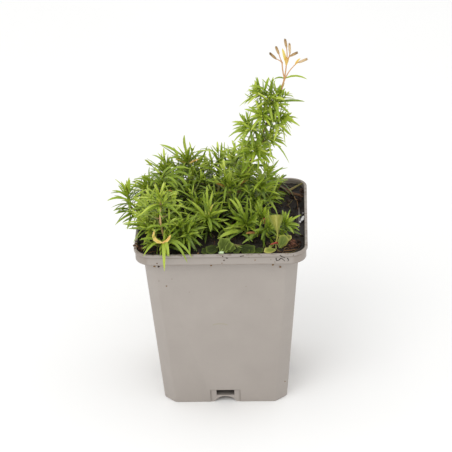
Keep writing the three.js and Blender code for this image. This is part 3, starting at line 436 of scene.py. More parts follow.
# Every shoot, in the order of the solids, because each one's seeds come from its number.
SHOOTS = [
    Shoot("shoot_tall", stems=TALL, tan=0.25, single=[
        ((20.4, 11.6, 161.8), (20.3, 10, 166.8), (19.8, 10, 170.9), 1.7, 0.55),
        ((23.4, 11, 161.4), (24.7, 8, 167), (26.1, 8, 171.5), 1.9, 0.65),
        ((26.2, 11.6, 160), (27, 11, 165.7), (28.4, 11, 170.2), 1.5, 0.5),
        ((29.2, 11, 158.6), (30.6, 8, 163.5), (32, 8, 166.9), 1.7, 0.5),
        ((31.6, 11, 156.4), (33.2, 7, 160.5), (33.8, 7, 164.5), 1.6, 0.35),
        ((27.2, 8.6, 158.6), (30.6, 5, 161.2), (34.5, 5, 159.6), 2, 0.95),
        ((30, 10.6, 155.8), (37.3, 8, 157.6), (44.6, 9, 156.8), 1.8, 0.35),
        ((25.4, 10.6, 160), (20.2, 7, 164.4), (15.6, 7, 163.8), 1.7, 0.4),
        ((28.4, 10, 157.6), (30, 3, 156.6), (31.4, 3, 147.2), 1.9, 0.6),
        ((25.4, 11, 161), (21.3, 7, 167), (15.6, 7, 166.7), 1.8, 0.65),
    ]),
    Shoot("shoot_mid_a", [(6, 2, 84), (7, 2, 95), (10, 3, 106), (11.5, 3.5, 116)], reach=[
        (0.97, 12, 4, 131, 0), (0.95, 18, 2, 125, 0.5), (0.9, 20, 4, 119, 1), (0.85, 14, -9, 115, 1),
    ], sprigs=[(0.85, 8, 3, 116), (0.8, 15, 4, 117), (0.9, 14, 5, 123)], withered=[
        ((9, 0, 113), (11.7, -2, 116.4), (14.4, -4, 117.8), 1.4, 0.74),
    ]),
    Shoot("shoot_mid_b", [(0, -1, 84), (0.5, -1, 95), (3, -1.5, 106), (4, -2, 115)], reach=[
        (0.95, 1, -4, 127, 0), (0.97, 5, -6, 128, 0), (0.9, 10, -11, 121, 1), (0.9, -2, -12, 121, 0.5),
        (0.85, 8, -14, 115, 1),
    ], sprigs=[(0.85, -1, -2, 115), (0.8, 9, -4, 115), (0.9, 2, 0, 122)], withered=[
        ((2, -1.5, 113), (-0.3, -3.2, 115.6), (-2.6, -5, 116.6), 1.5, 0.7),
    ]),
    Shoot("shoot_mid_c", [(12, 1, 84), (13, 1, 95), (18, 1.5, 103), (20, 2, 112)], reach=[
        (0.95, 33, 6, 121, 0), (0.9, 31, 2, 112, 1), (0.9, 34, 3, 113, 1.5), (0.9, 15, -9, 114, 1),
        (0.8, 28, -5, 101, 2), (0.95, 24, -9, 114, 0.5), (0.85, 31, -4, 109, 1), (0.8, 20, -11, 107, 1),
    ], sprigs=[(0.85, 24, 2, 110), (0.8, 16, -2, 110), (0.8, 26, -3, 107), (0.9, 23, 4, 119)]),
    Shoot("shoot_mid_d", [(16, 9, 84), (17, 9, 94), (22, 11, 105), (24.5, 12, 114)], reach=[
        (0.95, 26, 3, 123, 0.5), (0.95, 27, 20, 115, 0.5), (0.9, 32, 8, 115, 1),
    ], sprigs=[(0.8, 19, 14, 114), (0.6, 21, 6, 108)]),
    Shoot("shoot_mid_e", [(-3, 11, 84), (-3, 12, 95), (-2, 18, 107), (-1, 22, 116)], reach=[
        (0.95, -6, 20, 127, 0), (0.97, 0, 23, 128, 0), (0.95, 3, 25, 124, 0), (0.9, -9, 18, 118, 1),
    ], sprigs=[(0.85, -5, 20, 117), (0.75, 0, 18, 112), (0.9, -2, 22, 122), (0.8, -7, 21, 115)]),
    Shoot("shoot_mid_f", [(3, 16, 84), (3.5, 16.5, 95), (5, 20, 108), (6, 22, 117)], reach=[
        (0.95, 3, 20, 128, 0), (0.97, 7, 25, 127, 0), (0.9, 13, 22, 125, 0.5), (0.9, 13, 16, 118, 1),
    ], sprigs=[(0.85, 10, 20, 118), (0.75, 3, 18, 116), (0.9, 10, 22, 122), (0.7, 11, 18, 113)]),
    Shoot("shoot_left_a", [(-12, 13, 84), (-13, 14, 95), (-17, 20, 108), (-19, 24, 117)], reach=[
        (0.97, -20, 24, 130, 0), (0.95, -17, 20, 127, 0), (0.95, -14, 16, 126, 0.5),
        (0.9, -33, 26, 125, 0), (0.9, -7, 22, 124, 1.5), (0.9, -10, 30, 120, 1),
        (0.9, -23, 15, 126, 0.5), (0.85, -5, 22, 118, 1.5),
    ], sprigs=[
        (0.8, -14, 22, 116), (0.78, -25, 24, 113), (0.6, -16, 18, 111), (0.92, -16, 22, 123),
        (0.9, -23, 24, 118), (0.85, -12, 20, 115),
    ], single=[
        ((-21.6, 24, 119.4), (-27.4, 24, 124.2), (-33.5, 25, 125.9), 1.7, 0.7),
        ((-18.9, 24, 121.1), (-20.8, 24, 127.1), (-19.8, 24, 132), 1.6, 0.65),
    ], withered=[
        ((-19, 21, 116), (-22, 20.5, 118.4), (-24.9, 20, 119.6), 1.3, 0.5),
        ((-18, 21, 116), (-15.1, 20, 118.4), (-12.2, 19, 119.6), 1.4, 0.45),
    ]),
    Shoot("shoot_left_b", [
        (-20, 13, 84), (-21, 14, 94), (-27, 21, 102), (-30.5, 25, 110),
    ], lighter=0.05, reach=[
        (0.95, -41, 25, 118, 0), (0.9, -42, 28, 115, 0.5), (0.97, -33, 26, 121, 0),
        (0.97, -29, 24, 121, 0), (0.9, -27, 34, 115, 0.5), (0.9, -34, 17, 119, 0.5),
        (0.8, -43, 22, 108, 1),
    ], sprigs=[(0.85, -38, 22, 115), (0.8, -28, 24, 112), (0.7, -33, 18, 111), (0.9, -31, 24, 117)]),
    Shoot("shoot_left_c", [
        (-20, 4, 84), (-21, 4, 94), (-27, 6, 102), (-30.5, 7, 110),
    ], OLD_LEAF, pairs=9, reach=[
        (0.95, -38, 10, 117, 1), (0.95, -20, 10, 117, 2), (0.9, -18, 8, 111, 2.5),
        (0.85, -19, 6, 106, 2), (0.8, -24, -4, 104, 2), (0.9, -38, 0, 110, 1.5),
        (0.95, -30, -3, 117, 1.5), (0.97, -25, 0, 115, 2),
    ], sprigs=[
        (0.85, -22, 9, 117), (0.8, -38, 8, 113), (0.7, -25, 2, 112), (0.75, -18, 8, 114),
    ], single=[
        ((-30.5, 6, 116.3), (-23.2, 4, 124.2), (-15.8, 2, 121.7), 1.6, 0.55),
        ((-30.5, 6, 115.2), (-22.2, 3, 122.4), (-15.9, 0, 117.9), 1.7, 0.45),
        ((-30.6, 6, 114), (-22.7, 2, 120.7), (-17, -2, 113.6), 1.7, 0.5),
        ((-31.1, 5, 113.3), (-23.8, 1, 119), (-18.7, -3, 110), 1.6, 0.4),
        ((-31.7, 5, 112.1), (-25.4, 0, 117.6), (-21.9, -4, 108.8), 1.6, 0.5),
        ((-31.1, 6, 114.6), (-25.9, 1, 119.4), (-22.8, -3, 114.1), 1.5, 0.6),
        ((-31.6, 6, 115), (-30.6, 4, 121.6), (-24.7, 2, 123.6), 1.6, 0.5),
        ((-32.2, 5, 112.3), (-36, 3, 117), (-37.7, 0, 113.5), 1.6, 0.45),
    ], withered=[((-25, -6, 112), (-26.2, -8, 114.8), (-27.4, -10, 115.6), 1.5, 0.65)]),
    Shoot("shoot_left_d", [
        (-36, 0, 84), (-36.5, 0, 94), (-41, 0, 98.5), (-47, 1, 99.5), (-49.8, 3, 103), (-50, 4, 108),
    ], start=0.5, long=12, lighter=0.1, is_open=True, reach=[
        (0.95, -53, 2, 115, 0), (0.97, -49, 6, 116, 0), (0.9, -58, 0, 111, 0.5), (0.85, -61, 0, 105, 1),
        (0.75, -58, 2, 98, 1), (0.75, -56, -6, 100, 0.5), (0.6, -57, -4, 92, 2), (0.5, -50, -7, 92, 2),
        (0.97, -46, -3, 115, 0), (0.45, -38, -12, 97, 1),
    ], sprigs=[(0.6, -43, -3, 102), (0.55, -41, -5, 98), (0.9, -50, 4, 109)], single=[
        ((-50.2, 0, 105.5), (-55.4, -1, 108), (-60.7, -2, 106), 1.7, 0.62),
        ((-48.9, 0, 99.5), (-53.6, -1, 101.4), (-57.8, -2, 100), 1.5, 0.35),
        ((-48.6, 0, 98.2), (-52.6, -1, 99.4), (-56.3, -2, 98.2), 1.4, 0.3),
        ((-45.9, 0, 97.4), (-51.2, -1, 96.8), (-57.2, -2, 91.6), 1.6, 0.6),
        ((-43.8, 0, 96.2), (-48.6, -1, 95.4), (-53.4, -2, 92.8), 1.4, 0.3),
        ((-48.7, 0, 96), (-49.3, -1, 92.5), (-50.9, -2, 88.8), 1.4, 0.5),
        ((-49.7, 0, 106.6), (-53.1, -1, 111.2), (-57.7, -2, 111.8), 1.5, 0.6),
        ((-49.6, 0, 107), (-51.4, -1, 112.4), (-52.8, -2, 116.5), 1.4, 0.6),
        ((-49, 1, 108), (-48.4, 0, 114.7), (-48.4, -1, 118.4), 1.4, 0.65),
        ((-48.6, 0, 104.6), (-44.1, -1, 109), (-39.6, -2, 112.5), 1.7, 0.7),
        ((-46.8, 0, 102.5), (-42.1, -1, 103.6), (-36.9, -2, 101.7), 1.7, 0.75),
        ((-45.8, 0, 99.6), (-41.6, -1, 98.6), (-38.1, -2, 94), 1.6, 0.45),
    ], withered=[((-47, 0, 99), (-48.3, -1, 101.3), (-49.6, -2, 102.4), 1.3, 0.7)]),
    Shoot("shoot_left_e", [(-29, 11, 84), (-30, 11, 94), (-36, 13, 99.5), (-40, 14, 104)], reach=[
        (0.95, -47, 10, 112, 0), (0.97, -42, 12, 114, 0), (0.9, -48, 18, 105, 1), (0.9, -45, 5, 109, 1),
    ], sprigs=[(0.8, -40, 12, 106), (0.9, -45, 14, 108)], single=[
        ((-39, 12.6, 106.4), (-42.4, 11, 110), (-47.1, 10, 112.6), 1.7, 0.7),
        ((-38, 12.6, 106.8), (-38.9, 11, 111.7), (-42.7, 10, 114.9), 1.6, 0.55),
    ]),
    Shoot("shoot_left_f", [
        (-29, -6, 84), (-30, -6, 94), (-35, -7, 99), (-38, -8, 104),
    ], pairs=7, sprigs=[(0.85, -37, -8, 109), (0.8, -41, -10, 106)]),
    Shoot("shoot_front_a", [
        (-27.5, -27, 84), (-28, -28, 94), (-30, -29.5, 101), (-31, -29, 108), (-30.8, -28, 115),
        (-30.5, -28, 121),
    ], start=0.4, pairs=10, long=13, lighter=0.08, tan=0.85, bare=(99, 113), reach=[
        (0.97, -33, -30, 129, 0), (0.97, -29, -31, 129, 0), (0.9, -21, -30, 124, 0.5),
        (0.85, -19, -27, 118, 0.5), (0.9, -41, -30, 120, 0.5), (0.8, -43, -32, 111, 1),
        (0.85, -40, -38, 116, 1), (0.8, -17, -29, 115, 0.5), (0.8, -21, -36, 115, 1),
        (0.75, -40, -24, 108, 0.5),
    ], sprigs=[
        (0.85, -25, -27, 120), (0.8, -36, -28, 121), (0.65, -23, -28, 113), (0.62, -37, -29, 112),
        (0.5, -26, -32, 108),
    ], single=[
        ((-29.9, -30.9, 104.6), (-33.8, -31.8, 107), (-38.4, -32, 104.4), 1.6, 0.6),
        ((-31.2, -30.9, 104.8), (-27, -31.8, 107.8), (-22.4, -32, 106.2), 1.6, 0.65),
        ((-30.2, -30.9, 103.4), (-32, -32, 104.8), (-34.4, -33, 102.4), 1.3, 0.55),
        ((-30.6, -30.9, 106.6), (-27.6, -33, 106.4), (-25.4, -34.4, 103), 1.5, 0.5),
    ]),
    Shoot("shoot_front_b", [
        (-28, -35, 84), (-28.2, -35.3, 94), (-29, -36.5, 98.5),
    ], start=0.7, pairs=4, long=13, spread=(95, 60), reach=[
        (0.95, -39.5, -47, 96, 3), (0.95, -28.5, -51.5, 89.5, 5.5), (0.95, -26, -48, 96, 4),
        (0.9, -16.5, -49, 93, 5), (0.9, -14, -47.5, 95, 4.5), (0.9, -42, -36, 100, 1.5),
        (0.95, -39, -40, 103, 1), (0.98, -34, -38.5, 107, -2.2), (0.98, -26, -39, 105, -1.6),
    ], sprigs=[(0.8, -35, -37, 98), (0.85, -27, -34, 101)], withered=[
        ((-29.2, -40.6, 100.8), (-35.6, -41.4, 101.2), (-33.4, -40.6, 108), 2.4, 0.38),
        ((-30, -40.7, 100.8), (-26.4, -41.2, 101), (-25.2, -40.8, 105.6), 2, 0.42),
    ]),
    Shoot("shoot_front_c", [
        (-22, -24, 84), (-22, -25, 94), (-20, -28, 98), (-18.5, -30, 101),
    ], OLD_LEAF, lighter=0.12, reach=[
        (0.95, -13, -34, 109, 0.5), (0.9, -11, -35, 104, 1), (0.9, -9, -36, 100, 1.5),
        (0.85, -10, -38, 97, 1), (0.95, -16, -28, 111, 0.5), (0.95, -21, -26, 111, 0.5),
    ], sprigs=[
        (0.85, -17, -33, 101), (0.8, -22, -36, 100), (0.8, -21, -30, 105), (0.7, -24, -27, 103),
        (0.6, -15, -27, 104), (0.8, -25, -31, 104), (0.9, -20, -32, 105), (0.7, -25, -33, 100),
    ]),
    Shoot("shoot_centre_a", [
        (-6, -12, 84), (-6, -13, 94), (-7, -16, 99), (-7.3, -18, 103),
    ], pairs=6, spread=(92, 40), reach=[
        (0.95, -18, -14, 113, 0.5), (0.9, -21, -16, 109, 1), (0.97, -15, -20, 114, 0.5),
        (0.97, -9, -15, 117, 0), (0.97, -7, -13, 120, 0), (0.97, -4, -13, 117, 0),
        (0.95, 1, -18, 113, 0.5), (0.95, 4, -21, 109, 1), (0.95, -16, -26, 107, 1),
        (0.9, 0, -28, 102, 1), (0.9, -5, -30, 101, 1.5), (0.9, -10, -29, 99, 1),
    ], sprigs=[(0.85, -13, -20, 101), (0.85, -2, -20, 102), (0.9, -7, -16, 109)], withered=[
        ((-7, -17, 103), (-5.3, -18.5, 108.6), (-3.6, -20, 112.5), 1.5, 0.3),
    ]),
    Shoot("shoot_centre_b", [
        (8, -14, 84), (8.5, -14.5, 95), (11.5, -17.5, 98), (13.3, -20, 100),
    ], pairs=6, reach=[
        (0.95, 9, -22, 111, 0), (0.95, 12, -25, 110, 0.5), (0.9, 5, -29, 103, 1), (0.9, 6, -26, 107, 1),
        (0.95, 20, -27, 105, 1), (0.9, 4, -13, 112, 2.5), (0.9, 7, -12, 112, 3),
        (0.9, -2, -24, 95, 1.5, 1.5),
    ], sprigs=[(0.85, 7, -23, 100), (0.85, 16, -20, 102)], single=[
        ((11.4, -23, 97.6), (5.3, -26, 99.2), (-2, -28, 96), 2.7, 0.75),
        ((18.8, -27, 96.7), (15.1, -28.5, 96.7), (10.9, -30, 93.9), 1.5, 0.5),
        ((11, -25, 97), (14, -28, 97.2), (16.6, -30, 95), 1.4, 0.3),
        ((9, -24, 97), (5, -28, 97.2), (3, -31, 95), 1.5, 0.3),
    ], withered=[((12.8, -26.2, 98), (15.9, -26.5, 99.1), (18.8, -26.7, 98.3), 1.4, 0.72)]),
    Shoot("shoot_centre_c", [
        (19, -20, 84), (19.5, -20.5, 94.5), (22.5, -22.5, 97.5), (24.5, -24.5, 100),
    ], pairs=6, long=12, reach=[
        (0.95, 21, -36, 99, 1), (0.9, 13, -28, 95, 1), (0.95, 28, -28, 110, 0),
    ], sprigs=[(0.85, 20, -26, 99)]),
    Shoot("shoot_centre_d", [
        (29, -17, 84), (29.3, -17.5, 94.5), (31.8, -20.3, 98), (33.3, -22, 101),
    ], pairs=6, long=11, reach=[
        (0.95, 32, -25, 111, 0), (0.97, 34, -27, 111, 0), (0.95, 37, -28, 108, 0.5),
        (0.9, 41, -25, 102, 0.5), (0.9, 41, -28, 100, 1), (0.9, 38, -33, 101, 1),
    ]),
    Shoot("shoot_centre_e", [
        (17, -13, 84), (17.5, -13.5, 94.5), (20.5, -16.5, 99), (21.5, -18, 103),
    ], pairs=6, long=12, reach=[
        (0.95, 18, -18, 111, 0), (0.97, 20, -21, 111, 0), (0.95, 24, -22, 111, 0),
        (0.9, 11, -12, 106, 1),
    ], sprigs=[(0.9, 20, -17, 105)], withered=[
        ((24.6, -21, 103.6), (22.6, -21.6, 104.6), (20.9, -22, 102.6), 1.8, 0.74),
        ((24.8, -20.4, 103), (23.4, -21.2, 102.6), (22.2, -22, 101.4), 1.6, 0.7),
    ]),
    Shoot("shoot_front_d", [
        (-34, -18, 84), (-34.5, -19, 94), (-36.5, -21, 99), (-38, -22, 103),
    ], pairs=7, lighter=0.15, sprigs=[
        (0.85, -39, -22, 103), (0.85, -34, -20, 107), (0.7, -36, -27, 101),
    ]),
    Shoot("shoot_low_a", [
        (-11, -1, 84), (-12, -1, 95), (-15, -0.5, 103), (-17, 0, 110),
    ], OLD_LEAF, sprigs=[(0.9, -11, 2, 116)]),
    Shoot("shoot_low_b", [
        (-10, -7, 84), (-10.5, -7, 95), (-12, -8, 101), (-12.5, -8.5, 106),
    ], OLD_LEAF, pairs=6, sprigs=[(0.85, -15, -8, 111)]),
    Shoot("shoot_low_c", [
        (5, -7, 84), (5.5, -7, 95), (7, -8, 99), (7.5, -8.5, 105),
    ], OLD_LEAF, pairs=7, sprigs=[(0.85, 7, -10, 108)]),
    Shoot("shoot_low_d", [
        (13, -6.5, 84), (14, -7, 95), (17, -8, 99), (18, -8.5, 104),
    ], OLD_LEAF, pairs=7, sprigs=[(0.85, 16, -9, 107)]),
    Shoot("shoot_low_e", [
        (-16, -12, 84), (-17, -12, 94), (-20.5, -12.5, 99), (-22, -13, 104),
    ], OLD_LEAF, pairs=7, sprigs=[(0.85, -24, -12, 107)]),
    Shoot("shoot_low_f", [
        (-2, -7, 84), (-2, -7, 95), (-3, -6.5, 103), (-3.3, -6, 109),
    ], OLD_LEAF, pairs=7, sprigs=[(0.9, -5, -5, 112)]),
    Shoot("shoot_back_a", [
        (-24, 27, 84), (-25, 28, 94), (-28, 32, 98), (-30, 35, 102),
    ], OLD_LEAF, pairs=6, sprigs=[(0.85, -24, 34, 103), (0.7, -30, 30, 96)]),
    Shoot("shoot_back_b", [
        (-9, 25, 84), (-9.5, 26, 94), (-12, 31, 98), (-13, 34, 103),
    ], OLD_LEAF, pairs=7, sprigs=[
        (0.9, -18, 34, 106), (0.85, -8, 31, 107), (0.95, -14, 36, 108), (0.7, -5, 28, 103),
        (0.75, -17, 30, 101), (0.9, -17, 29, 109), (0.9, -10, 29, 108),
    ]),
    Shoot("shoot_back_c", [
        (8, 25, 84), (8.5, 26, 94), (10, 30, 98), (11, 33, 102),
    ], OLD_LEAF, pairs=6, sprigs=[
        (0.9, 7, 30, 108), (0.9, 14, 30, 106), (0.75, 3, 27, 104), (0.7, 15, 27, 101),
    ]),
    Shoot("shoot_back_d", [
        (22, 19, 84), (22.5, 19.5, 94.5), (24.5, 22, 98.5), (25.5, 24, 102),
    ], OLD_LEAF, pairs=6, sprigs=[(0.9, 21, 24, 106), (0.9, 30, 24, 104), (0.7, 27, 20, 97)]),
]
# Leaves with a finish of their own, by the place of their tip: tone, dryness, times wider. One
# of no width is not drawn and only keeps its room.
MARKED = {
    (-28.5, -51.5, 89.5): (0.78, 0.0, 1.35),
    (-26, -48, 96): (0.7, 0.0, 1.2),
    (-34, -38.5, 107): (0.9, 0.0, 0),
    (-26, -39, 105): (0.9, 0.0, 0),
    (-2, -24, 95): (0.9, 0.0, 1.15),
}
# Tips of the leaves cut off where they would stand out of the plant.
TRIMMED = (
    (32, 8, 115), (31.8, 13.7, 118.5), (30.8, 15.1, 119.4), (-26.5, 28.3, 127.1),
    (-13.7, 27.6, 129.7), (-10, 25.3, 126.5), (-48.3, 26.9, 112.8), (-40.8, 27.5, 120.9),
    (-47.7, 19.4, 111.3), (-47.1, 18.6, 110.7), (33.1, 31.1, 109.2), (34.3, 19.6, 106.8),
    (33.8, 20.4, 106.6), (34.6, 21, 107.6), (38, 8.3, 161.1), (35.8, 18.6, 160.8),
    (25.5, 16.5, 169.6), (20.8, 18.9, 165.9), (38.4, 12.1, 153), (39.4, 16.9, 153.2),
    (35.8, 17.6, 162.3), (36.1, 5.4, 160.7), (37.3, 18, 156.7), (37, 6.5, 153.8),
    (32.7, 19.1, 164.8), (4.2, 29.2, 127.9), (45, 11, 156), (12, 7, 166),
)
# The upper side of the single and withered leaves.
SINGLE_FACING = (0, -0.6, 1)


def leaf_tone(finish, up, draw, height):
    """How light a leaf is: old shoots are dark, and leaves lighten up the stem and the tuft."""
    risen = min(0.16, max(-0.16, (height - PLAIN_HEIGHT) / 110))
    return min(1, max(0, LEAF_TONES[finish] + risen + 0.36 * up + 0.44 * (draw - 0.5)))


def grow_pairs(standing, owner, finish, stem, random, pairs, late, gap):
    """Crossed pairs along one stem by the solids' rule, closer and more upright towards its tip."""
    leaves = []
    for pair in range(pairs):
        up = (pair + late) / (pairs - 1 + late) if pairs > 1 else 1
        share = stem.start + (1 - stem.start) * (1 - (1 - up) ** 1.35) * 0.995
        root, along = stem.path.point(share)[0], stem.path.tangent(share)[0]
        for half in (0, 1):
            r1, r2, r3, r4 = (random() for _ in range(4))
            turn = math.pi * (pair / 2 + half) + (pair + late) * 0.45 + (r1 - 0.5) * 0.7
            low, high = stem.spread
            lean = math.radians(low + (high - low) * up + (r2 - 0.5) * 22)
            length = stem.long * (0.9 + 0.2 * up - 0.55 * up**3) * (0.82 + 0.34 * r3)
            width = LEAF_WIDTH * (1 - 0.25 * up) * (0.9 + 0.15 * r4)
            arch = stem.arch * (0.2 + 1.6 * r4)
            for lean_more, turn_more, part in TRIES:
                leaf = leaf_at(
                    root, along, turn + math.radians(turn_more),
                    lean + math.radians(lean_more), length * part, width, arch,
                )
                if standing.is_clear(owner, leaf, gap):
                    leaf.tone = leaf_tone(finish, up, r1, leaf.tip[2])
                    standing.add_leaf(owner, leaf)
                    leaves.append(leaf)
                    break
    return leaves


def bud_leaves(finish, stem, random, count):
    """The small upright leaves round a growing tip."""
    leaves = []
    for i in range(count):
        share = 1 - 0.06 * (count - i) / count
        root, along = stem.path.point(share)[0], stem.path.tangent(share)[0]
        lean = math.radians(10 + 34 * (count - i) / count + 8 * random())
        length = stem.long * (0.26 + 0.2 * (count - i) / count)
        leaf = leaf_at(root, along, SPIRAL_TURN * i + random(), lean, length, 1.1, -0.06)
        leaf.tone = min(1, leaf_tone(finish, 1, random(), leaf.tip[2]) + 0.1)
        leaves.append(leaf)
    return leaves


def side_sprigs(stem, random, apart, long):
    """Short side shoots out of the leaf axils, turning round the stem, one about every apart mm."""
    count = int(stem.path.length() * (1 - stem.start) / apart)
    sprigs = []
    for i in range(count):
        share = stem.start + (0.95 - stem.start) * (i + 0.5 * random()) / count
        root, along = stem.path.point(share)[0], stem.path.tangent(share)[0]
        turn = SPIRAL_TURN * i + 1.5 * random()
        length = long * (0.7 + 0.6 * random()) * (1.15 - 0.5 * share)
        way = leaf_at(root, along, turn, math.radians(58), length, 1, -0.25)
        sprigs.append(Stem(
            [way.root, (way.bend + way.tip) / 2, way.tip], start=0.15, pairs=3,
            long=stem.long * 0.85, spread=(85, 30), arch=stem.arch + 0.16,
        ))
    return sprigs


def set_sprig(stem, share, *tip):
    """A side sprig from a share of a stem to a set tip, sagging a little."""
    root, tip = vectors_of(stem.path.point(share)[0], tip)
    sag = np.array([0, 0, -0.12 * np.linalg.norm(tip - root)])
    return Stem(
        [root, (root + tip) / 2 + sag, tip], start=0.25, pairs=4, long=stem.long * 0.95,
        arch=stem.arch + 0.16,
    )


def is_left_out(shoot, leaf):
    """Whether a leaf is trimmed, or grows forwards off the bare stretch of its stem."""
    low, high = shoot.bare
    reach = leaf.tip - leaf.root
    forwards = low < leaf.root[2] < high and reach[1] < -0.2 * np.linalg.norm(reach)
    return forwards or min(np.linalg.norm(np.array(tip) - leaf.tip) for tip in TRIMMED) < 1


def stand_weed(standing, owner, weed):
    """Marks where the solid of a weed stands."""
    foot, crown = vectors_of(weed["foot"], weed["crown"])
    standing.add(owner, [foot, crown], [BLADE_STALK, BLADE_STALK])
    for start, end, width, upper in weed["blades"]:
        start, end = vectors_of(start, end)
        standing.add(owner, [crown, start], [BLADE_STALK, BLADE_STALK])
        across = unit(np.cross(upper, end - start))
        for aside in (-width / 3, 0, width / 3):
            ends = [start + across * aside, end + across * aside]
            standing.add(owner, ends, [width / 6 + 0.5, width / 6 + 0.5])


def mark_what_stands():
    """Where the weeds, the seed head's stalks and every stem stand."""
    standing = Standing()
    for i, weed in enumerate(WEEDS):
        stand_weed(standing, WEED_OWNER + i, weed)
    for radius, *way in SEED_STALKS:
        standing.add(SEED_HEAD_OWNER, vectors_of(*way), [radius] * len(way))
    for owner, shoot in enumerate(SHOOTS):
        for stem in shoot.stems:
            spots = stem.path.point(np.linspace(0, 1, 4 * stem.bends + 1))
            standing.add(owner, spots, [STEM_RADIUS] * len(spots))
    return standing


def set_leaves(standing, owner, shoot):
    """A shoot's leaves that go to set spots."""
    leaves = []
    for stem in shoot.stems:
        for spot in stem.reach:
            leaf = reached_leaf(stem.path, spot)
            tone = leaf_tone(shoot.finish, 0.6, (spot[1] * 0.37 + spot[3] * 0.61) % 1, spot[3])
            tone, dry, wider = MARKED.get(tuple(spot[1:4]), (tone, 0.0, 1))
            if standing.is_clear(owner, leaf, LEAF_GAP):
                standing.add_leaf(owner, leaf)
                if wider:
                    leaves.append(leaf)
            leaf.tone, leaf.dry, leaf.width = tone, dry, leaf.width * wider
    return leaves


def finer_growth(standing, owner, shoot):
    """A shoot's side sprigs, and the smaller leaves that fill it in."""
    settings, random = bpy.context.scene.phlox_plant, seeded_stream(FILL_SEED + SEED_STEP * owner)
    apart, long = settings.sprigs_apart / MM, settings.sprig_length / MM
    leaves, sprigs = [], []
    if not shoot.is_open:
        for stem in shoot.stems:
            sprigs += side_sprigs(stem, random, apart, long)
    sprigs += [set_sprig(stem, *sprig) for stem in shoot.stems for sprig in stem.sprigs]
    for stem, pairs, late, buds in (
        *((sprig, sprig.pairs, 0, 2) for sprig in sprigs),
        *((stem, round(stem.pairs * settings.fill), 0.5, settings.bud_leaves) for stem in shoot.stems),
    ):
        leaves += grow_pairs(standing, owner, shoot.finish, stem, random, pairs, late, 0)
        leaves += bud_leaves(shoot.finish, stem, random, buds)
    return leaves, [sprig.path for sprig in sprigs]


def grow_plant():
    """Every shoot's leaves and side stems: first the solids' leaves, then what fills them in."""
    standing, plant = mark_what_stands(), []
    foliage = [set_leaves(standing, owner, shoot) for owner, shoot in enumerate(SHOOTS)]
    for owner, shoot in enumerate(SHOOTS):
        random = seeded_stream(PAIR_SEED + SEED_STEP * owner)
        for stem in shoot.stems:
            foliage[owner] += grow_pairs(
                standing, owner, shoot.finish, stem, random, stem.pairs, 0, LEAF_GAP
            )
    for owner, shoot in enumerate(SHOOTS):
        finer, side_stems = finer_growth(standing, owner, shoot)
        leaves = [leaf for leaf in foliage[owner] + finer if not is_left_out(shoot, leaf)]
        for leaf in leaves:
            leaf.tone = min(1, leaf.tone + shoot.lighter)
        for root, bend, tip, width, tone in shoot.single:
            leaves.append(Leaf(root, bend, tip, width, SINGLE_FACING, tone))
        for root, bend, tip, width, dry in shoot.withered:
            leaves.append(Leaf(root, bend, tip, width, SINGLE_FACING, 0.9, dry))
        plant.append((shoot, leaves, side_stems))
    return plant


# ---------- modelling helpers ----------

def settle():
    """Leaves edit mode and deselects everything."""
    if bpy.context.object is not None and bpy.context.object.mode != "OBJECT":
        bpy.ops.object.mode_set(mode="OBJECT")
    bpy.ops.object.select_all(action="DESELECT")


def choose(obj, test=lambda *places: True, kind="VERT"):
    """Selects vertices or faces by their middle, or edges by their ends, in edit mode."""
    bpy.ops.object.mode_set(mode="OBJECT")
    mesh = obj.data
    bpy.context.tool_settings.mesh_select_mode = (kind == "VERT", kind == "EDGE", kind == "FACE")
    for parts in (mesh.vertices, mesh.edges, mesh.polygons):
        parts.foreach_set("select", [False] * len(parts))
    if kind == "VERT":
        for corner in mesh.vertices:
            corner.select = bool(test(corner.co / MM))
    elif kind == "EDGE":
        for edge in mesh.edges:
            edge.select = bool(test(*(mesh.vertices[i].co / MM for i in edge.vertices)))
    else:
        for face in mesh.polygons:
            face.select = bool(test(face.center / MM))
    bpy.ops.object.mode_set(mode="EDIT")


def extrude_up(rise):
    """Extrudes what is selected."""
    bpy.ops.mesh.extrude_region_move(TRANSFORM_OT_translate={"value": (0, 0, rise * MM)})


def turn_outwards(obj):
    """Turns all faces of a closed shape outwards."""
    choose(obj)
    bpy.ops.mesh.normals_make_consistent(inside=False)


def apply_modifier(obj, kind, **values):
    """Adds one modifier and applies it."""
    settle()
    bpy.context.view_layer.objects.active = obj
    modifier = obj.modifiers.new(kind.lower(), kind)
    for key, value in values.items():
        setattr(modifier, key, value)
    bpy.ops.object.modifier_apply(modifier=modifier.name)


def combine(target, tool, operation):
    """Joins or cuts target with tool, and removes tool."""
    apply_modifier(target, "BOOLEAN", operation=operation, object=tool, solver="EXACT")
    bpy.data.objects.remove(tool)


def box(across, along, up):
    """A square block from its ends in x, y and z."""
    settle()
    bpy.ops.mesh.primitive_cube_add(size=1)
    block, ends = bpy.context.object, (across, along, up)
    block.scale = [(high - low) * MM for low, high in ends]
    block.location = [(high + low) / 2 * MM for low, high in ends]
    bpy.ops.object.transform_apply()
    return block


def soften(obj, test, width, segments=2):
    """Rounds the edges that pass the test."""
    choose(obj, test, "EDGE")
    bpy.ops.mesh.bevel(offset=width * MM, offset_type="OFFSET", segments=segments)


def prism(width, low, high, corner, segments):
    """An upright square block with its upright edges cut by a flat or rounded."""
    block = box((-width / 2, width / 2), (-width / 2, width / 2), (low, high))
    soften(block, lambda a, b: abs(a.z - b.z) > 0.1, corner, segments)
    return block


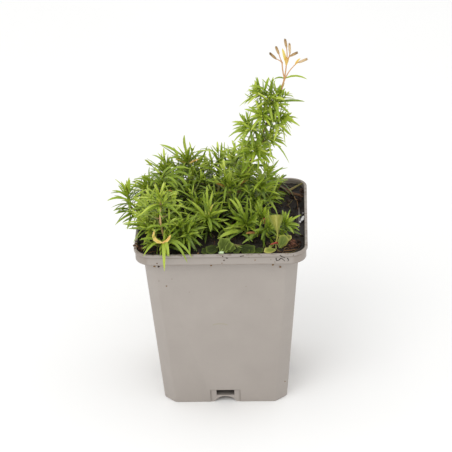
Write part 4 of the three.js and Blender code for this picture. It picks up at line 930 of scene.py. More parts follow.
def tapered(width, low, high):
    """The pot's body or its inside: a block with flat corners that narrows downwards."""
    block = prism(width + 2 * (high - BODY_TOP_Z) * WALL_SLOPE, low, high, CHAMFER, 1)
    narrower = (high - low) * WALL_SLOPE * MM
    for axis in (0, 1):
        for side in (-1, 1):
            choose(block, lambda co: co.z < low + 0.1 and side * co[axis] > 0)
            shift = [0, 0, 0]
            shift[axis] = -side * narrower
            bpy.ops.transform.translate(value=shift)
    return block


def arch(front, back):
    """A round ridge as high and wide over z = 0 as the arch under a drain, along y."""
    radius = ((ARCH_WIDTH / 2) ** 2 + ARCH_HEIGHT**2) / 2 / ARCH_HEIGHT
    settle()
    bpy.ops.mesh.primitive_cylinder_add(
        vertices=96, radius=radius * MM, depth=(back - front) * MM, rotation=(math.pi / 2, 0, 0),
        location=(0, (front + back) / 2 * MM, (ARCH_HEIGHT - radius) * MM),
    )
    bpy.ops.object.transform_apply()
    return bpy.context.object


def turn_to_side(tool, side):
    """Turns what is modelled at the front to one of the pot's four sides."""
    tool.data.transform(Matrix.Rotation(side * math.pi / 2, 4, "Z"))


def taken(obj):
    """The shape of a finished master, in millimetres, which then goes."""
    settle()
    mesh = obj.data
    corners = np.array([v.co for v in mesh.vertices]) / MM
    faces = [list(f.vertices) for f in mesh.polygons]
    bpy.data.objects.remove(obj)
    bpy.data.meshes.remove(mesh)
    return corners, faces


class Pile:
    """Copies that become one piece, each with its own corners, finish and marks."""

    def __init__(self):
        self.corners, self.faces, self.slots, self.uvs, self.marks = [], [], [], [], []
        self.count = 0

    def add(self, corners, faces, slot=0, uvs=None, tone=0.5, dry=0.0):
        """Adds one copy, with the number of its material in the piece."""
        n = len(corners)
        self.corners.append(corners)
        self.faces += [[i + self.count for i in face] for face in faces]
        self.slots += [slot] * len(faces)
        self.uvs.append(np.zeros((n, 2)) if uvs is None else uvs)
        marks = np.zeros((n, 2))
        marks[:, 0], marks[:, 1] = tone, dry
        self.marks.append(marks)
        self.count += n

    def piece(self, name, finishes, slot, replaces=(), smooth_angle=60):
        """Makes the piece from all its copies."""
        mesh = bpy.data.meshes.new(name)
        mesh.from_pydata((np.vstack(self.corners) * MM).tolist(), [], self.faces)
        mesh.polygons.foreach_set("material_index", self.slots)
        loops = np.zeros(len(mesh.loops), np.int32)
        mesh.loops.foreach_get("vertex_index", loops)
        layer = mesh.uv_layers.new(name="UVMap")
        layer.data.foreach_set("uv", np.vstack(self.uvs)[loops].astype(np.float32).ravel())
        marks = np.vstack(self.marks).astype(np.float32)
        for column, label in enumerate(("tone", "dry")):
            mark = mesh.attributes.new(label, "FLOAT", "POINT")
            mark.data.foreach_set("value", marks[:, column].copy())
        mesh.update()
        piece = bpy.data.objects.new(name, mesh)
        bpy.context.scene.collection.objects.link(piece)
        dress(piece, name, finishes, slot, replaces, smooth_angle)


def dress(piece, name, finishes, slot, replaces=(), smooth_angle=30):
    """Gives a finished piece its name, materials, smoothing and place in the frame."""
    settle()
    piece.name = piece.data.name = name
    # A cut leaves an empty material behind.
    if len(piece.data.materials):
        piece.data.materials.clear()
    for finish in finishes:
        piece.data.materials.append(finish_named(finish))
    piece.select_set(True)
    bpy.context.view_layer.objects.active = piece
    bpy.ops.object.shade_smooth_by_angle(angle=math.radians(smooth_angle))
    settle()
    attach(piece, "root")
    if replaces:
        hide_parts(*replaces)


# ---------- masters: modelled once, then copied and bent ----------

# Shares of a leaf's length at which it has a ring of corners.
LEAF_STATIONS = (0, 0.1, 0.3, 0.52, 0.74, 0.91, 1)


def leaf_master():
    """A needle leaf, one unit to each side and one long: a shallow groove above, a keel below."""
    settle()
    bpy.ops.mesh.primitive_circle_add(vertices=4, radius=MM, rotation=(math.pi / 2, 0, 0))
    leaf = bpy.context.object
    bpy.ops.object.transform_apply()
    for test, rise in (
        (lambda co: co.z > 0.5, -1.02), (lambda co: co.z < -0.5, 0.62), (lambda co: abs(co.x) > 0.5, 0.2),
    ):
        choose(leaf, test)
        bpy.ops.transform.translate(value=(0, 0, rise * MM))
    choose(leaf)
    for before, after in zip(LEAF_STATIONS[:-1], LEAF_STATIONS[1:]):
        step = (after - before) * MM
        bpy.ops.mesh.extrude_edges_move(TRANSFORM_OT_translate={"value": (0, step, 0)})
    for end in (0, 1):
        choose(leaf, lambda co: abs(co.y - end) < 0.01)
        bpy.ops.mesh.merge(type="CENTER")
    turn_outwards(leaf)
    return taken(leaf)


def stem_master(sides, rings):
    """A round rod, one unit in radius and one long."""
    settle()
    bpy.ops.mesh.primitive_circle_add(vertices=sides, radius=MM, fill_type="NGON")
    rod = bpy.context.object
    choose(rod, kind="FACE")
    for _ in range(rings):
        extrude_up(1 / rings)
    turn_outwards(rod)
    return taken(rod)


def lump_master(cuts, seed):
    """A crumb: a ball pushed out of round."""
    settle()
    bpy.ops.mesh.primitive_ico_sphere_add(subdivisions=cuts, radius=MM)
    lump = bpy.context.object
    choose(lump)
    bpy.ops.transform.vertex_random(offset=0.42 * MM, seed=seed)
    bpy.ops.transform.resize(value=(1, 0.82, 0.66))
    return taken(lump)


def bend_leaves(pile, master, leaves, slot):
    """Adds a copy of the leaf master for each leaf, bent along its curve."""
    corners, faces = master
    x, share, z = corners.T
    uvs = np.column_stack([(x + 1) / 2, share])
    t = share[:, None]
    for leaf in leaves:
        level = np.hypot(*(leaf.tip - leaf.root)[:2])
        bend = leaf.bend + (0, 0, LEAF_ARCH * level * (1 - leaf.dry))
        spine = (1 - t) ** 2 * leaf.root + 2 * t * (1 - t) * bend + t**2 * leaf.tip
        along = unit(2 * (1 - t) * (bend - leaf.root) + 2 * t * (leaf.tip - bend))
        across = unit(np.cross(along, leaf.facing))
        above = np.cross(across, along)
        half = drawn_half(share, leaf.width)[:, None]
        placed = spine + across * (x[:, None] * half) + above * (z[:, None] * half)
        pile.add(placed, faces, slot, uvs, leaf.tone, leaf.dry)


def round_and_up(corners):
    """Places on a rod or cup, from 0 to 1: round it, and up it."""
    return np.column_stack([np.arctan2(corners[:, 1], corners[:, 0]) / math.tau + 0.5, corners[:, 2]])


def bend_stem(pile, master, path, radii, slot, tone=0.5, dry=0.0):
    """Adds a copy of the rod master along a path, with its radius from radii(share)."""
    corners, faces = master
    share = corners[:, 2]
    along = path.tangent(share)
    across = unit(np.cross(along, (0.21, 1, 0.13)))
    aside = np.cross(along, across)
    radius = radii(share)[:, None]
    placed = path.point(share) + (across * corners[:, :1] + aside * corners[:, 1:2]) * radius
    pile.add(placed, faces, slot, round_and_up(corners), tone, dry)


# ---------- old seed head and weeds ----------

# The seed head's stalks as (half width, points...).
SEED_STALKS = [
    (0.55, (32.2, 13, 161.6), (33, 13, 164.5), (34.1, 13, 168.2)),
    (0.4, (34.1, 13, 167.8), (33.2, 13, 173), (32.9, 12.6, 177.8)),
    (0.4, (34, 13, 167.8), (34.8, 13.2, 173), (35.3, 13.3, 177.8)),
    (0.3, (34.2, 13, 168), (36.8, 13.6, 172.4), (40.3, 14, 176.2), (42, 14, 177)),
    (0.3, (32.9, 12.6, 177.5), (31.6, 12, 179), (29.6, 11.6, 180.2)),
    (0.3, (32.9, 12.6, 177.5), (32, 13.4, 179.8), (31.3, 14, 182)),
    (0.3, (35.3, 13.3, 177.5), (35.6, 13.8, 181.5), (35.4, 14.2, 185.6)),
    (0.3, (35.3, 13.3, 177.5), (36.4, 12.6, 180), (37.1, 12, 183)),
    (0.3, (35.3, 13.3, 177.5), (36.2, 13.6, 179.4), (37.4, 14.2, 180.6)),
]
# Its empty seed cups as (base, mouth, tone), then the radius of one and its ribs.
SEED_CUPS = [
    ((29.9, 11.7, 180), (26.6, 11.2, 183.6), 0.45),
    ((31.4, 13.9, 181.7), (29.8, 14.4, 185.9), 0.6),
    ((35.4, 14.1, 185.2), (34.6, 14.4, 190), 0.62),
    ((37.1, 12.1, 182.7), (36.9, 11.8, 188.6), 0.85),
    ((37.1, 14.1, 180.4), (41.2, 15, 182.2), 0.5),
    ((41.6, 14, 176.8), (46.2, 14.2, 178.8), 0.8),
]
CUP_RADIUS = 0.75
CALYX_RIBS = 10
# Its leaves as (root, tip, lift, width, tone, dryness).
SEED_LEAVES = [
    ((35.2, 13, 176.6), (33.1, 12, 185.8), 0.2, 1.9, 0.9, 0.37),
    ((35.1, 12.8, 175.6), (35.4, 12.4, 181), 0.2, 1.6, 0.9, 0.5),
    ((35.4, 13.2, 176.4), (36.7, 12.8, 181), 0.2, 1.3, 0.9, 0.46),
    ((39.6, 14, 175.4), (42.6, 13.2, 179.4), 0.3, 1.7, 0.8, 0.42),
    ((34.1, 13, 168.2), (46, 12, 168), 1.3, 1.5, 0.7, 0.0),
    ((34.1, 13, 168.2), (28.4, 13.6, 167.6), 0.7, 1.2, 0.45, 0.0),
]

# Blades of the solids as (foot of the blade, far end, width, upper side), and the finer blades
# drawn here as the same with (fold, lobes, tone) after them.
WEEDS = [
    {
        "name": "weed_seedling", "slot": "olive_leaf", "material": "seedling_leaf",
        "foot": (28.6, -31, 84), "crown": (28.6, -31.3, 94.6),
        "blades": [
            ((29.1, -31.3, 100.5), (28.8, -30.6, 110), 7.4, (0.1, -1, 0.25)),
            ((30, -32, 95.6), (35.2, -34.6, 95.4), 5, (-0.1, -0.35, 1)),
            ((30.6, -30.4, 96.4), (36.4, -30.6, 98.6), 4.6, (-0.3, -0.35, 1)),
            ((27.4, -34, 95.4), (22.8, -40.5, 95.4), 5, (0.1, -0.2, 1)),
        ],
        "finer": [
            ((30.6, -34.6, 93.7), (33.6, -31.6, 99.4), 6, (-0.1, -0.8, 0.7), 0.16, 0.05, 0.3),
            ((32.4, -31.4, 95.4), (36.4, -29, 98), 3.6, (-0.3, -0.6, 1), 0.2, 0.03, 0.55),
            ((28.6, -38.6, 95), (22.8, -42.2, 95.9), 4.2, (0.1, -0.5, 1), 0.3, 0.04, 0.6),
            ((27.4, -33, 94.6), (25.2, -35.2, 95), 1.7, (0, -0.4, 1), 0.1, 0.0, 0.4),
        ],
    },
    {
        "name": "weed_creeper", "slot": "deep_leaf", "material": "creeper_leaf",
        "foot": (5, -30, 84), "crown": (5.2, -30.6, 94),
        "blades": [
            ((3.6, -31.6, 94.6), (-3.6, -36.4, 94.8), 8, (0.1, -0.3, 1)),
            ((7.6, -32.4, 94.6), (17, -38.6, 94.8), 8, (0, -0.3, 1)),
            ((4.6, -33, 94.8), (7.4, -40, 95), 6.4, (0, -0.3, 1)),
            ((1.6, -29.6, 96), (-6.4, -32.4, 97), 5, (0.1, -0.3, 1)),
        ],
        "finer": [
            ((0.4, -40.6, 95), (4, -36.5, 100.3), 8.6, (0, -1, 0.6), 0.12, 0.09, 0.6),
            ((9.2, -35.2, 95.2), (17.6, -40, 94.6), 7.2, (0.1, -0.6, 1), 0.15, 0.08, 0.22),
            ((-0.8, -35.4, 95.4), (-7, -40, 94.8), 6.4, (-0.1, -0.6, 1), 0.2, 0.07, 0.2),
            ((6.8, -36.6, 95.4), (9.2, -40.8, 94.6), 4.6, (0, -0.6, 1), 0.2, 0.07, 0.2),
            ((17, -36.6, 94.4), (21.6, -40.6, 94.9), 4.6, (0.2, -0.6, 1), 0.2, 0.06, 0.15),
            ((2.6, -40.8, 94.8), (6.8, -37.6, 98), 5.4, (0.2, -1, 0.6), 0.25, 0.08, 0.5),
            ((-3.4, -36.8, 94.6), (-9.6, -39.6, 94.6), 4.6, (-0.1, -0.5, 1), 0.2, 0.07, 0.1),
            ((10.8, -37.6, 94.4), (14.6, -41.2, 94.8), 4.4, (0.1, -0.5, 1), 0.2, 0.07, 0.15),
            ((0.6, -17.6, 95), (-1, -20.4, 99), 5, (0, -1, 0.6), 0.2, 0.06, 0.3),
            ((2.4, -24, 95.4), (-0.6, -27, 98.6), 5.6, (0, -1, 0.6), 0.2, 0.08, 0.25),
        ],
    },
]
# The fan: foot, top, width at the top.
FAN = ((29.5, -31.4, 100.6), (28.7, -30.8, 111), 8)
# The seedling's red stalk: points from its crown.
RED_STALK = ((1.2, 0.2, -0.6), (0.3, -0.6, 0.9), (-2.8, -1.6, 0.2))
# Half width of the stalks of a weed's solid.
BLADE_STALK = 0.5
# A pale leaf bud by the front rim: its middle, and its half sizes.
BUD_PLACE = (0.6, -42, 95.3)
BUD_SIZE = (1.35, 1.1, 1.2)


def cup_master():
    """A dry calyx, one unit in radius and one long: a ribbed tube with five points."""
    settle()
    bpy.ops.mesh.primitive_circle_add(vertices=CALYX_RIBS, radius=0.45 * MM, fill_type="NGON")
    cup = bpy.context.object
    choose(cup, kind="FACE")
    for rise, grow in ((0.12, 1.7), (0.3, 1.25), (0.32, 0.95), (0.1, 0.88)):
        extrude_up(rise)
        bpy.ops.transform.resize(value=(grow, grow, 1))
    bpy.ops.mesh.inset(thickness=0.1 * MM)
    bpy.ops.transform.translate(value=(0, 0, -0.3 * MM))
    rib = math.tau / CALYX_RIBS
    choose(cup, lambda co: co.z > 0.8 and round(math.atan2(co.y, co.x) / rib) % 2 == 0)
    bpy.ops.transform.translate(value=(0, 0, 0.16 * MM))
    turn_outwards(cup)
    return taken(cup)


def blade_master():
    """A round leaf blade, one unit in radius, thin and closed."""
    settle()
    bpy.ops.mesh.primitive_circle_add(vertices=32, radius=MM, fill_type="NGON")
    blade = bpy.context.object
    choose(blade, kind="FACE")
    for thickness in (0.14, 0.22, 0.26):
        bpy.ops.mesh.inset(thickness=thickness * MM)
    bpy.ops.mesh.poke()
    apply_modifier(blade, "SOLIDIFY", thickness=0.36 * MM, offset=0)
    turn_outwards(blade)
    return taken(blade)


def fan_master():
    """A square of leaf, two units wide and one high, thin and closed, for a fan to be drawn from."""
    settle()
    bpy.ops.mesh.primitive_grid_add(x_subdivisions=22, y_subdivisions=14, size=2 * MM)
    fan = bpy.context.object
    choose(fan)
    bpy.ops.transform.resize(value=(1, 0.5, 1))
    bpy.ops.transform.translate(value=(0, 0.5 * MM, 0))
    apply_modifier(fan, "SOLIDIFY", thickness=0.3 * MM, offset=0)
    return taken(fan)


def add_fan(pile, master, slot, tone):
    """The upright fan: narrow at its foot, with a waved, folded and notched upper edge."""
    corners, faces = master
    (foot, top), width = vectors_of(*FAN[:2]), FAN[2]
    x, share, thick = corners.T
    spread = 0.12 + 0.88 * (0.5 * share + 0.5 * eased(share, 0.05, 0.9))
    notch = 0.05 * np.exp(-(((x - 0.2) / 0.14) ** 2))
    wave = 1 + 0.03 * np.sin(6 * x + 1) * share - 0.07 * np.abs(x) ** 3 - notch
    along = (top - foot) * (share * wave)[:, None]
    aside = np.array([1, 0.06, 0]) * (width / 2 * x * spread)[:, None]
    folds = 0.7 * share * np.cos(7 * x) - 1.1 * share * np.abs(x) + thick
    placed = foot + along + aside + np.array([0.1, -0.96, 0.2]) * folds[:, None]
    tones = tone + 0.3 * np.exp(-((x / 0.22) ** 2)) - 0.22 * eased(np.abs(x), 0.4, 0.9)
    pile.add(placed, faces, slot, np.column_stack([0.5 + 0.5 * x * spread, share]), tones)


def add_stalk(pile, master, way, thick, thinner, slot, tone):
    """A weed's stalk, from its half width at its foot and how much less that is at its tip."""
    bend_stem(pile, master, Path(way), lambda share: thick - thinner * share, slot, tone)


def add_blade(pile, master, blade, slot):
    """A weed's leaf blade, lobed, folded along its middle, veined and curled down at its edge."""
    corners, faces = master
    start, end, width, upper, fold, lobes, tone = blade
    start, end = vectors_of(start, end)
    along = end - start
    across = unit(np.cross(upper, along))
    above = unit(np.cross(along, across))
    out = np.hypot(corners[:, 0], corners[:, 1])
    turn = np.arctan2(corners[:, 0], corners[:, 1])
    rim = np.clip((out - 0.5) / 0.5, 0, 1)
    ripple = 1 + lobes * np.cos(7 * turn) * rim
    share = 0.5 + 0.5 * out * ripple * np.cos(turn)
    aside = width / 2 * out * ripple * np.sin(turn) * (0.5 + 0.7 * np.minimum(1, share))
    veins = 0.3 * np.abs(np.cos(3.5 * turn)) * out * (1 - 0.4 * out) - 0.5 * rim**2
    rise = corners[:, 2] + fold * np.abs(aside) + veins
    placed = start + share[:, None] * along + aside[:, None] * across + rise[:, None] * above
    uvs = np.column_stack([0.5 + aside / width, share])
    # Placing mirrors the blade, so its faces are turned back outwards.
    faces = [face[::-1] for face in faces]
    pile.add(placed, faces, slot, uvs, tone - 0.25 + 0.6 * np.clip(out, 0, 1) ** 5)


def add_cup(pile, master, base, mouth, slot, tone):
    """An empty seed cup from its base to its mouth."""
    corners, faces = master
    base, mouth = vectors_of(base, mouth)
    along = mouth - base
    across = unit(np.cross(along, (0.2, 1, 0.1)))
    aside = unit(np.cross(along, across))
    side = across * corners[:, :1] + aside * corners[:, 1:2]
    placed = base + corners[:, 2:] * along + side * CUP_RADIUS
    pile.add(placed, faces, slot, round_and_up(corners), tone)


# ---------- soil ----------

def on_soil(x, y, room):
    """Whether a spot lies on the soil, with room to the wall and off the open ledge."""
    return outside_rim(x, y) < -BAND_WALL - room and not on_open_ledge(x, y)


def turned(random):
    """A random turn, as three axes."""
    first = unit(np.array([random() - 0.5 for _ in range(3)]) + 1e-6)
    second = unit(np.cross(first, [random() - 0.5, random() - 0.5, 1.1]))
    return np.array([first, second, np.cross(first, second)])


def scatter_crumbs(pile, masters, count, random):
    """Crumbs of peat all over the soil, many fine and few coarse."""
    placed = 0
    while placed < count:
        x, y = (random() - 0.5) * POT_WIDTH, (random() - 0.5) * POT_WIDTH
        size = 0.3 + 1.2 * random() ** 3
        if not on_soil(x, y, size + 0.1):
            continue
        corners, faces = masters[placed % len(masters)]
        spot = np.array([x, y, soil_top(x, y) + 0.25 * size])
        pile.add(corners @ turned(random) * size + spot, faces, tone=random())
        placed += 1


def scatter_fibres(pile, master, count, random):
    """Thin root and coir fibres lying on the peat."""
    placed = 0
    while placed < count:
        x, y = (random() - 0.5) * POT_WIDTH, (random() - 0.5) * POT_WIDTH
        turn, length = random() * math.tau, 3 + 7 * random()
        bow = (random() - 0.5) * length * 0.5
        along = np.array([math.cos(turn), math.sin(turn), 0])
        aside = np.array([-math.sin(turn), math.cos(turn), 0])
        way = [np.array([x, y, 0]) + along * length * (s - 0.5) + aside * bow * math.sin(math.pi * s)
               for s in (0, 0.35, 0.7, 1)]
        if not all(on_soil(spot[0], spot[1], 0.6) for spot in way):
            continue
        for i, spot in enumerate(way):
            spot[2] = soil_top(spot[0], spot[1]) + (0.2, 1.0, 0.7, 0.2)[i]
        thick = 0.1 + 0.14 * random()
        bend_stem(pile, master, Path(way), lambda s: thick * (1 - 0.5 * s), 0, random(), 1.0)
        placed += 1


# Coarse roots and twigs: points as (x, y, height over the crust), radius, tone.
ROOTS = [
    ([(32.1, 37, 0.5), (34.3, 30, 1.2), (37, 26.4, 1.4), (40.2, 25.4, 1.4), (43, 23.6, 1.3)], 0.6, 0.4),
    ([(29, 39, 0.3), (31.6, 36, 1.2), (34.8, 31, 1.8), (38, 28, 1.2), (41.6, 27.4, 0.6)], 0.4, 0.6),
    ([(38, 25.5, 0.8), (39.1, 21, 1.4), (40.7, 23, 1.2)], 0.35, 0.8),
    ([(34.8, 31.9, 0.8), (38.6, 35.8, 1.5), (42.8, 39, 2.6)], 0.8, 1.0),
    ([(28.7, 42, 0.6), (32.6, 36, 1.2), (35.6, 33.4, 0.8)], 0.45, 0.45),
    ([(39.6, 21.4, 0.6), (40, 18.6, 0.8), (40.1, 15.6, 0.6)], 0.25, 0.7),
    ([(27, -38.6, 0.3), (31, -40.4, 1.2), (35.6, -39.4, 0.6)], 0.3, 0.75),
    ([(33, -37, 0.3), (37, -38.6, 1.3), (39.6, -34.6, 0.4)], 0.3, 0.6),
    ([(36, -34, 0.3), (40, -30.6, 1.2), (40.6, -25, 0.3)], 0.35, 0.45),
    ([(29, -35, 0.3), (33.4, -40.6, 1.0), (39, -37.6, 0.5)], 0.22, 0.9),
    ([(-24, -39, 0.3), (-19, -40.8, 0.9), (-14, -39.6, 0.3)], 0.28, 0.5),
    ([(-40, -33, 0.3), (-38, -28, 1), (-39.4, -22, 0.3)], 0.3, 0.5),
]
# White grains washed onto the ledge, perlite that also stands in as painted glints of light on the wet
# film: x, y, z, size.
PERLITE_AND_GLINTS = [
    (43, 5.6, 91.3, 0.7), (42.8, 4.2, 91.4, 0.9), (42.2, 3.4, 91.2, 0.7), (42.6, 2.6, 91.3, 0.9),
    (42, 1.4, 91.2, 0.8), (41.3, 0, 91, 0.7), (40.2, -5.4, 90.7, 0.35), (42.9, 10.5, 91, 0.4),
]
# Felted lumps: x, y, size, small lumps in it, tone.
MOSS = [
    (37.2, -30.8, 2.3, 50, 0.75), (36, -34.4, 1.3, 12, 0.6), (-8.7, -35.6, 1.1, 14, 1.1),
    (41, 21.5, 1.6, 18, 0.25), (37, 24.6, 1.6, 14, 0.1), (32.6, 29, 1.6, 12, 0.05),
    (29, 34, 1.4, 10, 0.1), (42.3, 31.6, 1.3, 14, 0.35), (42.4, 26, 1.2, 12, 0.5),
    (30.6, -40, 1.6, 12, 0.35), (24.6, -40.6, 1.3, 8, 0.3), (40.6, -27, 1.6, 12, 0.3),
    (-43, -33, 1.2, 8, 0.3), (-41.6, -33.4, 1.6, 16, 0.5), (-42.2, -29.6, 1.2, 10, 0.3),
]
# How crumbs are flattened against the wall.
STUCK_FORM = (0.8, 0.5, 0.8)
# Crumbs of soil stuck on the pot: x, y, z, size, tone.
STUCK = [
    (-34.3, -39.9, 86.8, 0.9, 1.0), (-32.2, -40.2, 86.7, 0.8, 0.1), (-32.6, -44.4, 90.8, 0.45, 0.5),
    (-5, -40.2, 87.1, 0.8, 0.9), (1.3, -45, 94.8, 0.5, 0.2), (1.9, -44.3, 92.1, 0.6, 0.2),
    (0.8, -44.3, 90.4, 0.4, 0.6), (11.8, -45, 94.9, 0.5, 0.3), (14.8, -44.3, 93.8, 0.4, 0.2),
    (17.9, -44.3, 92, 0.5, 0.9), (26.9, -40.2, 87, 0.8, 0.75), (30.7, -40.1, 85.6, 0.8, 1.0),
    (6.1, -44.3, 94, 0.3, 0.2), (-44.6, -33.4, 95.6, 1.3, 0.4), (-43.9, -31.6, 95.7, 0.9, 0.5),
    (-43.4, -34.6, 95.6, 1.1, 0.55), (-44.3, -36.4, 95.5, 0.7, 0.5), (-44.2, -28.4, 95.6, 0.6, 0.4),
    (-11.4, -43, 95.6, 0.7, 1.0), (-28.6, -39.1, 74.6, 0.55, 1.0), (-25.6, -39.5, 78.9, 0.25, 0.6),
    (-32.4, -39.4, 77.8, 0.25, 0.4), (32, -29.7, 10.5, 0.4, 0.7), (12.7, -39.1, 74, 0.2, 0.5),
    (-17, -38.8, 70.7, 0.2, 0.4), (25, -38.3, 65.1, 0.2, 0.5), (21, -45, 94.8, 0.35, 0.3),
    (-20, -45, 95, 0.3, 0.5), (-37.9, -44.2, 95.4, 0.4, 0.4), (37.6, -44.65, 94.8, 0.4, 0.3),
]
# Dark hair roots stuck on the band: points.
HAIRS = [
    [(28.7, -44.35, 93.1), (28.9, -44.35, 91.6), (30.2, -44.35, 91.7)],
    [(30.2, -44.35, 92), (31.2, -44.35, 92.8), (32.2, -44.35, 92.2), (33.2, -44.35, 91.2)],
    [(34.4, -44.35, 93), (35.1, -44.35, 91.9), (34.6, -44.35, 91.1)],
    [(30.7, -45.05, 95), (31.7, -45.05, 94.2), (33.3, -44.4, 93.1)],
    [(3, -44.35, 93.4), (4, -44.35, 93.2)],
    [(10.2, -45.05, 94.7), (12.3, -45.05, 94.9)],
]


# ---------- colours and materials ----------

def linear(code):
    """An sRGB hex colour as linear red, green, blue and alpha."""
    parts = [int(code[i:i + 2], 16) / 255 for i in (1, 3, 5)]
    return [c / 12.92 if c <= 0.04045 else ((c + 0.055) / 1.055) ** 2.4 for c in parts] + [1]


def feed(made, values):
    """Sets a node's inputs, by name or in order: to a number, a hex colour, or what they are linked to."""
    in_use = [socket for socket in made.inputs if socket.enabled]
    for key, value in values.items():
        socket = in_use[key] if isinstance(key, int) else made.inputs[key]
        if isinstance(value, bpy.types.Node):
            value = next(output for output in value.outputs if output.enabled)
        if isinstance(value, bpy.types.NodeSocket):
            made.id_data.links.new(value, socket)
        else:
            socket.default_value = linear(value) if isinstance(value, str) else value


def node(tree, kind, *values, stops=(), **settings):
    """Adds a node, as "Kind" or "Kind OPERATION", with its settings, colour stops and inputs."""
    kind, _, operation = kind.partition(" ")
    made = tree.nodes.new("ShaderNode" + kind)
    if operation:
        made.operation = operation
    for key, value in settings.items():
        setattr(made, key, value)
    elements = made.color_ramp.elements if stops else ()
    while len(elements) < len(stops):
        elements.new(0.5)
    for element, (place, code) in zip(elements, stops):
        element.position, element.color = place, linear(code)
    feed(made, dict(enumerate(values)))
    return made


# Each finish below is given add(kind, ...), which adds a node to its material, and returns what
# goes into the shader. "Relief" is (height, strength, depth in mm). Places are in mm.

def place_in_mm(add):
    """Where a spot lies in the frame, in mm."""
    return add("VectorMath SCALE", add("TexCoord").outputs["Object"], 1 / MM)


def across_and_along(add):
    """Places on one leaf, stem or calyx, from 0 to 1."""
    return add("SeparateXYZ", add("UVMap", uv_map="UVMap")).outputs[:2]


def within(add, strength, *limits):
    """Strength where each measure has passed from its first limit to its second, and 0 outside."""
    for measure, outside, inside in limits:
        strength = add("Math MULTIPLY", add("MapRange", measure, outside, inside), strength)
    return strength


def leaf_finish(add):
    """Phlox needle leaf: waxy and firm, so it has a soft shine and a pale midrib groove."""
    place, (across, along) = place_in_mm(add), across_and_along(add)
    tone, dry = (add("Attribute", attribute_name=mark).outputs["Fac"] for mark in ("tone", "dry"))
    # Cells vary in green over about 2 mm, and the surface is grained at about 0.5 mm.
    patch, grain = add("TexNoise", place, 1 / 2.2, 3), add("TexNoise", place, 1 / 0.5)
    lighter = add("Math MULTIPLY_ADD", patch, 0.3, add("Math SUBTRACT", tone, 0.15))
    lighter = add("Math MULTIPLY_ADD", add("MapRange", along, 0.55, 1), 0.12, lighter)
    fresh = add("ValToRGB", lighter, stops=LEAF_GREENS)
    withered = add("ValToRGB", add("Math MULTIPLY_ADD", patch, 0.4, dry), stops=LEAF_DRIES)
    body = add("Mix", add("MapRange", dry, 0.15, 0.4), fresh, withered, data_type="RGBA")
    off_middle = add("Math ABSOLUTE", add("Math SUBTRACT", across, 0.5))
    rib = within(add, 0.16, (off_middle, 0.14, 0.03))
    # Light passes through a thin leaf and comes out yellower.
    return {
        "Base Color": add("Mix", rib, body, "#b9c96a", data_type="RGBA"),
        "Roughness": add("Math MULTIPLY_ADD", dry, 0.3, add("Math MULTIPLY_ADD", patch, 0.2, 0.36)),
        "Relief": (grain, 0.25, 0.1), "Specular IOR Level": 0.35, "Subsurface Weight": 0.25,
        "Subsurface Radius": (0.9, 1.0, 0.15), "Subsurface Scale": 0.8 * MM,
    }


def stem_finish(add):
    """Phlox stem: green near the tip, and a brown and purple bark lower down."""
    place, (_, along) = place_in_mm(add), across_and_along(add)
    tone, dry = (add("Attribute", attribute_name=mark).outputs["Fac"] for mark in ("tone", "dry"))
    # The bark changes over about 4 mm and flakes about 0.6 mm wide.
    up = add("Math MULTIPLY_ADD", add("TexNoise", place, 1 / 4), 0.3, along)
    bark = add("ValToRGB", add("Math SUBTRACT", add("Math ADD", up, tone), 0.65), stops=STEM_BARK)
    return {
        "Base Color": add("Mix", dry, bark, "#e2bb80", data_type="RGBA"), "Roughness": 0.6,
        "Relief": (add("TexNoise", place, 1 / 0.6, 3), 0.4, 0.15),
    }


def straw_finish(add, stops, mouth=0.0):
    """Dried stalk or calyx: papery and ribbed lengthways, so it is matte and streaky."""
    place, (across, along) = place_in_mm(add), across_and_along(add)
    tone = add("Attribute", attribute_name="tone").outputs["Fac"]
    rib = add("Math SINE", add("Math MULTIPLY", across, CALYX_RIBS * math.tau))
    streak = add("TexNoise", place, 1 / 1.2, 3)
    mix = add("Math MULTIPLY_ADD", streak, 0.6, add("Math SUBTRACT", tone, 0.3))
    mix = add("Math MULTIPLY_ADD", add("MapRange", along, 0.5, 1), -mouth, mix)
    return {
        "Base Color": add("ValToRGB", add("Math MULTIPLY_ADD", rib, 0.08, mix), stops=stops),
        "Roughness": 0.72, "Relief": (rib, 0.35, 0.12),
    }


def blade_finish(add, stops, veins=0.3):
    """Soft weed leaf: thin and slightly hairy, with veins spreading from its foot."""
    place, (across, along) = place_in_mm(add), across_and_along(add)
    tone = add("Attribute", attribute_name="tone").outputs["Fac"]
    aside = add("Math SUBTRACT", across, 0.5)
    spread = add("Math ARCTAN2", aside, add("Math ADD", along, 0.12))
    vein = add("Math ABSOLUTE", add("Math SINE", add("Math MULTIPLY", spread, 9)))
    patch = add("TexNoise", place, 1 / 1.8, 3)
    mix = add("Math MULTIPLY_ADD", patch, 0.5, add("Math SUBTRACT", tone, 0.25))
    colour, veined = add("ValToRGB", mix, stops=stops), within(add, veins, (vein, 0.22, 0.02))
    return {
        "Base Color": add("Mix", veined, colour, "#b3b96f", data_type="RGBA"),
        "Roughness": 0.6, "Specular IOR Level": 0.15, "Relief": (vein, 0.4, 0.2),
    }


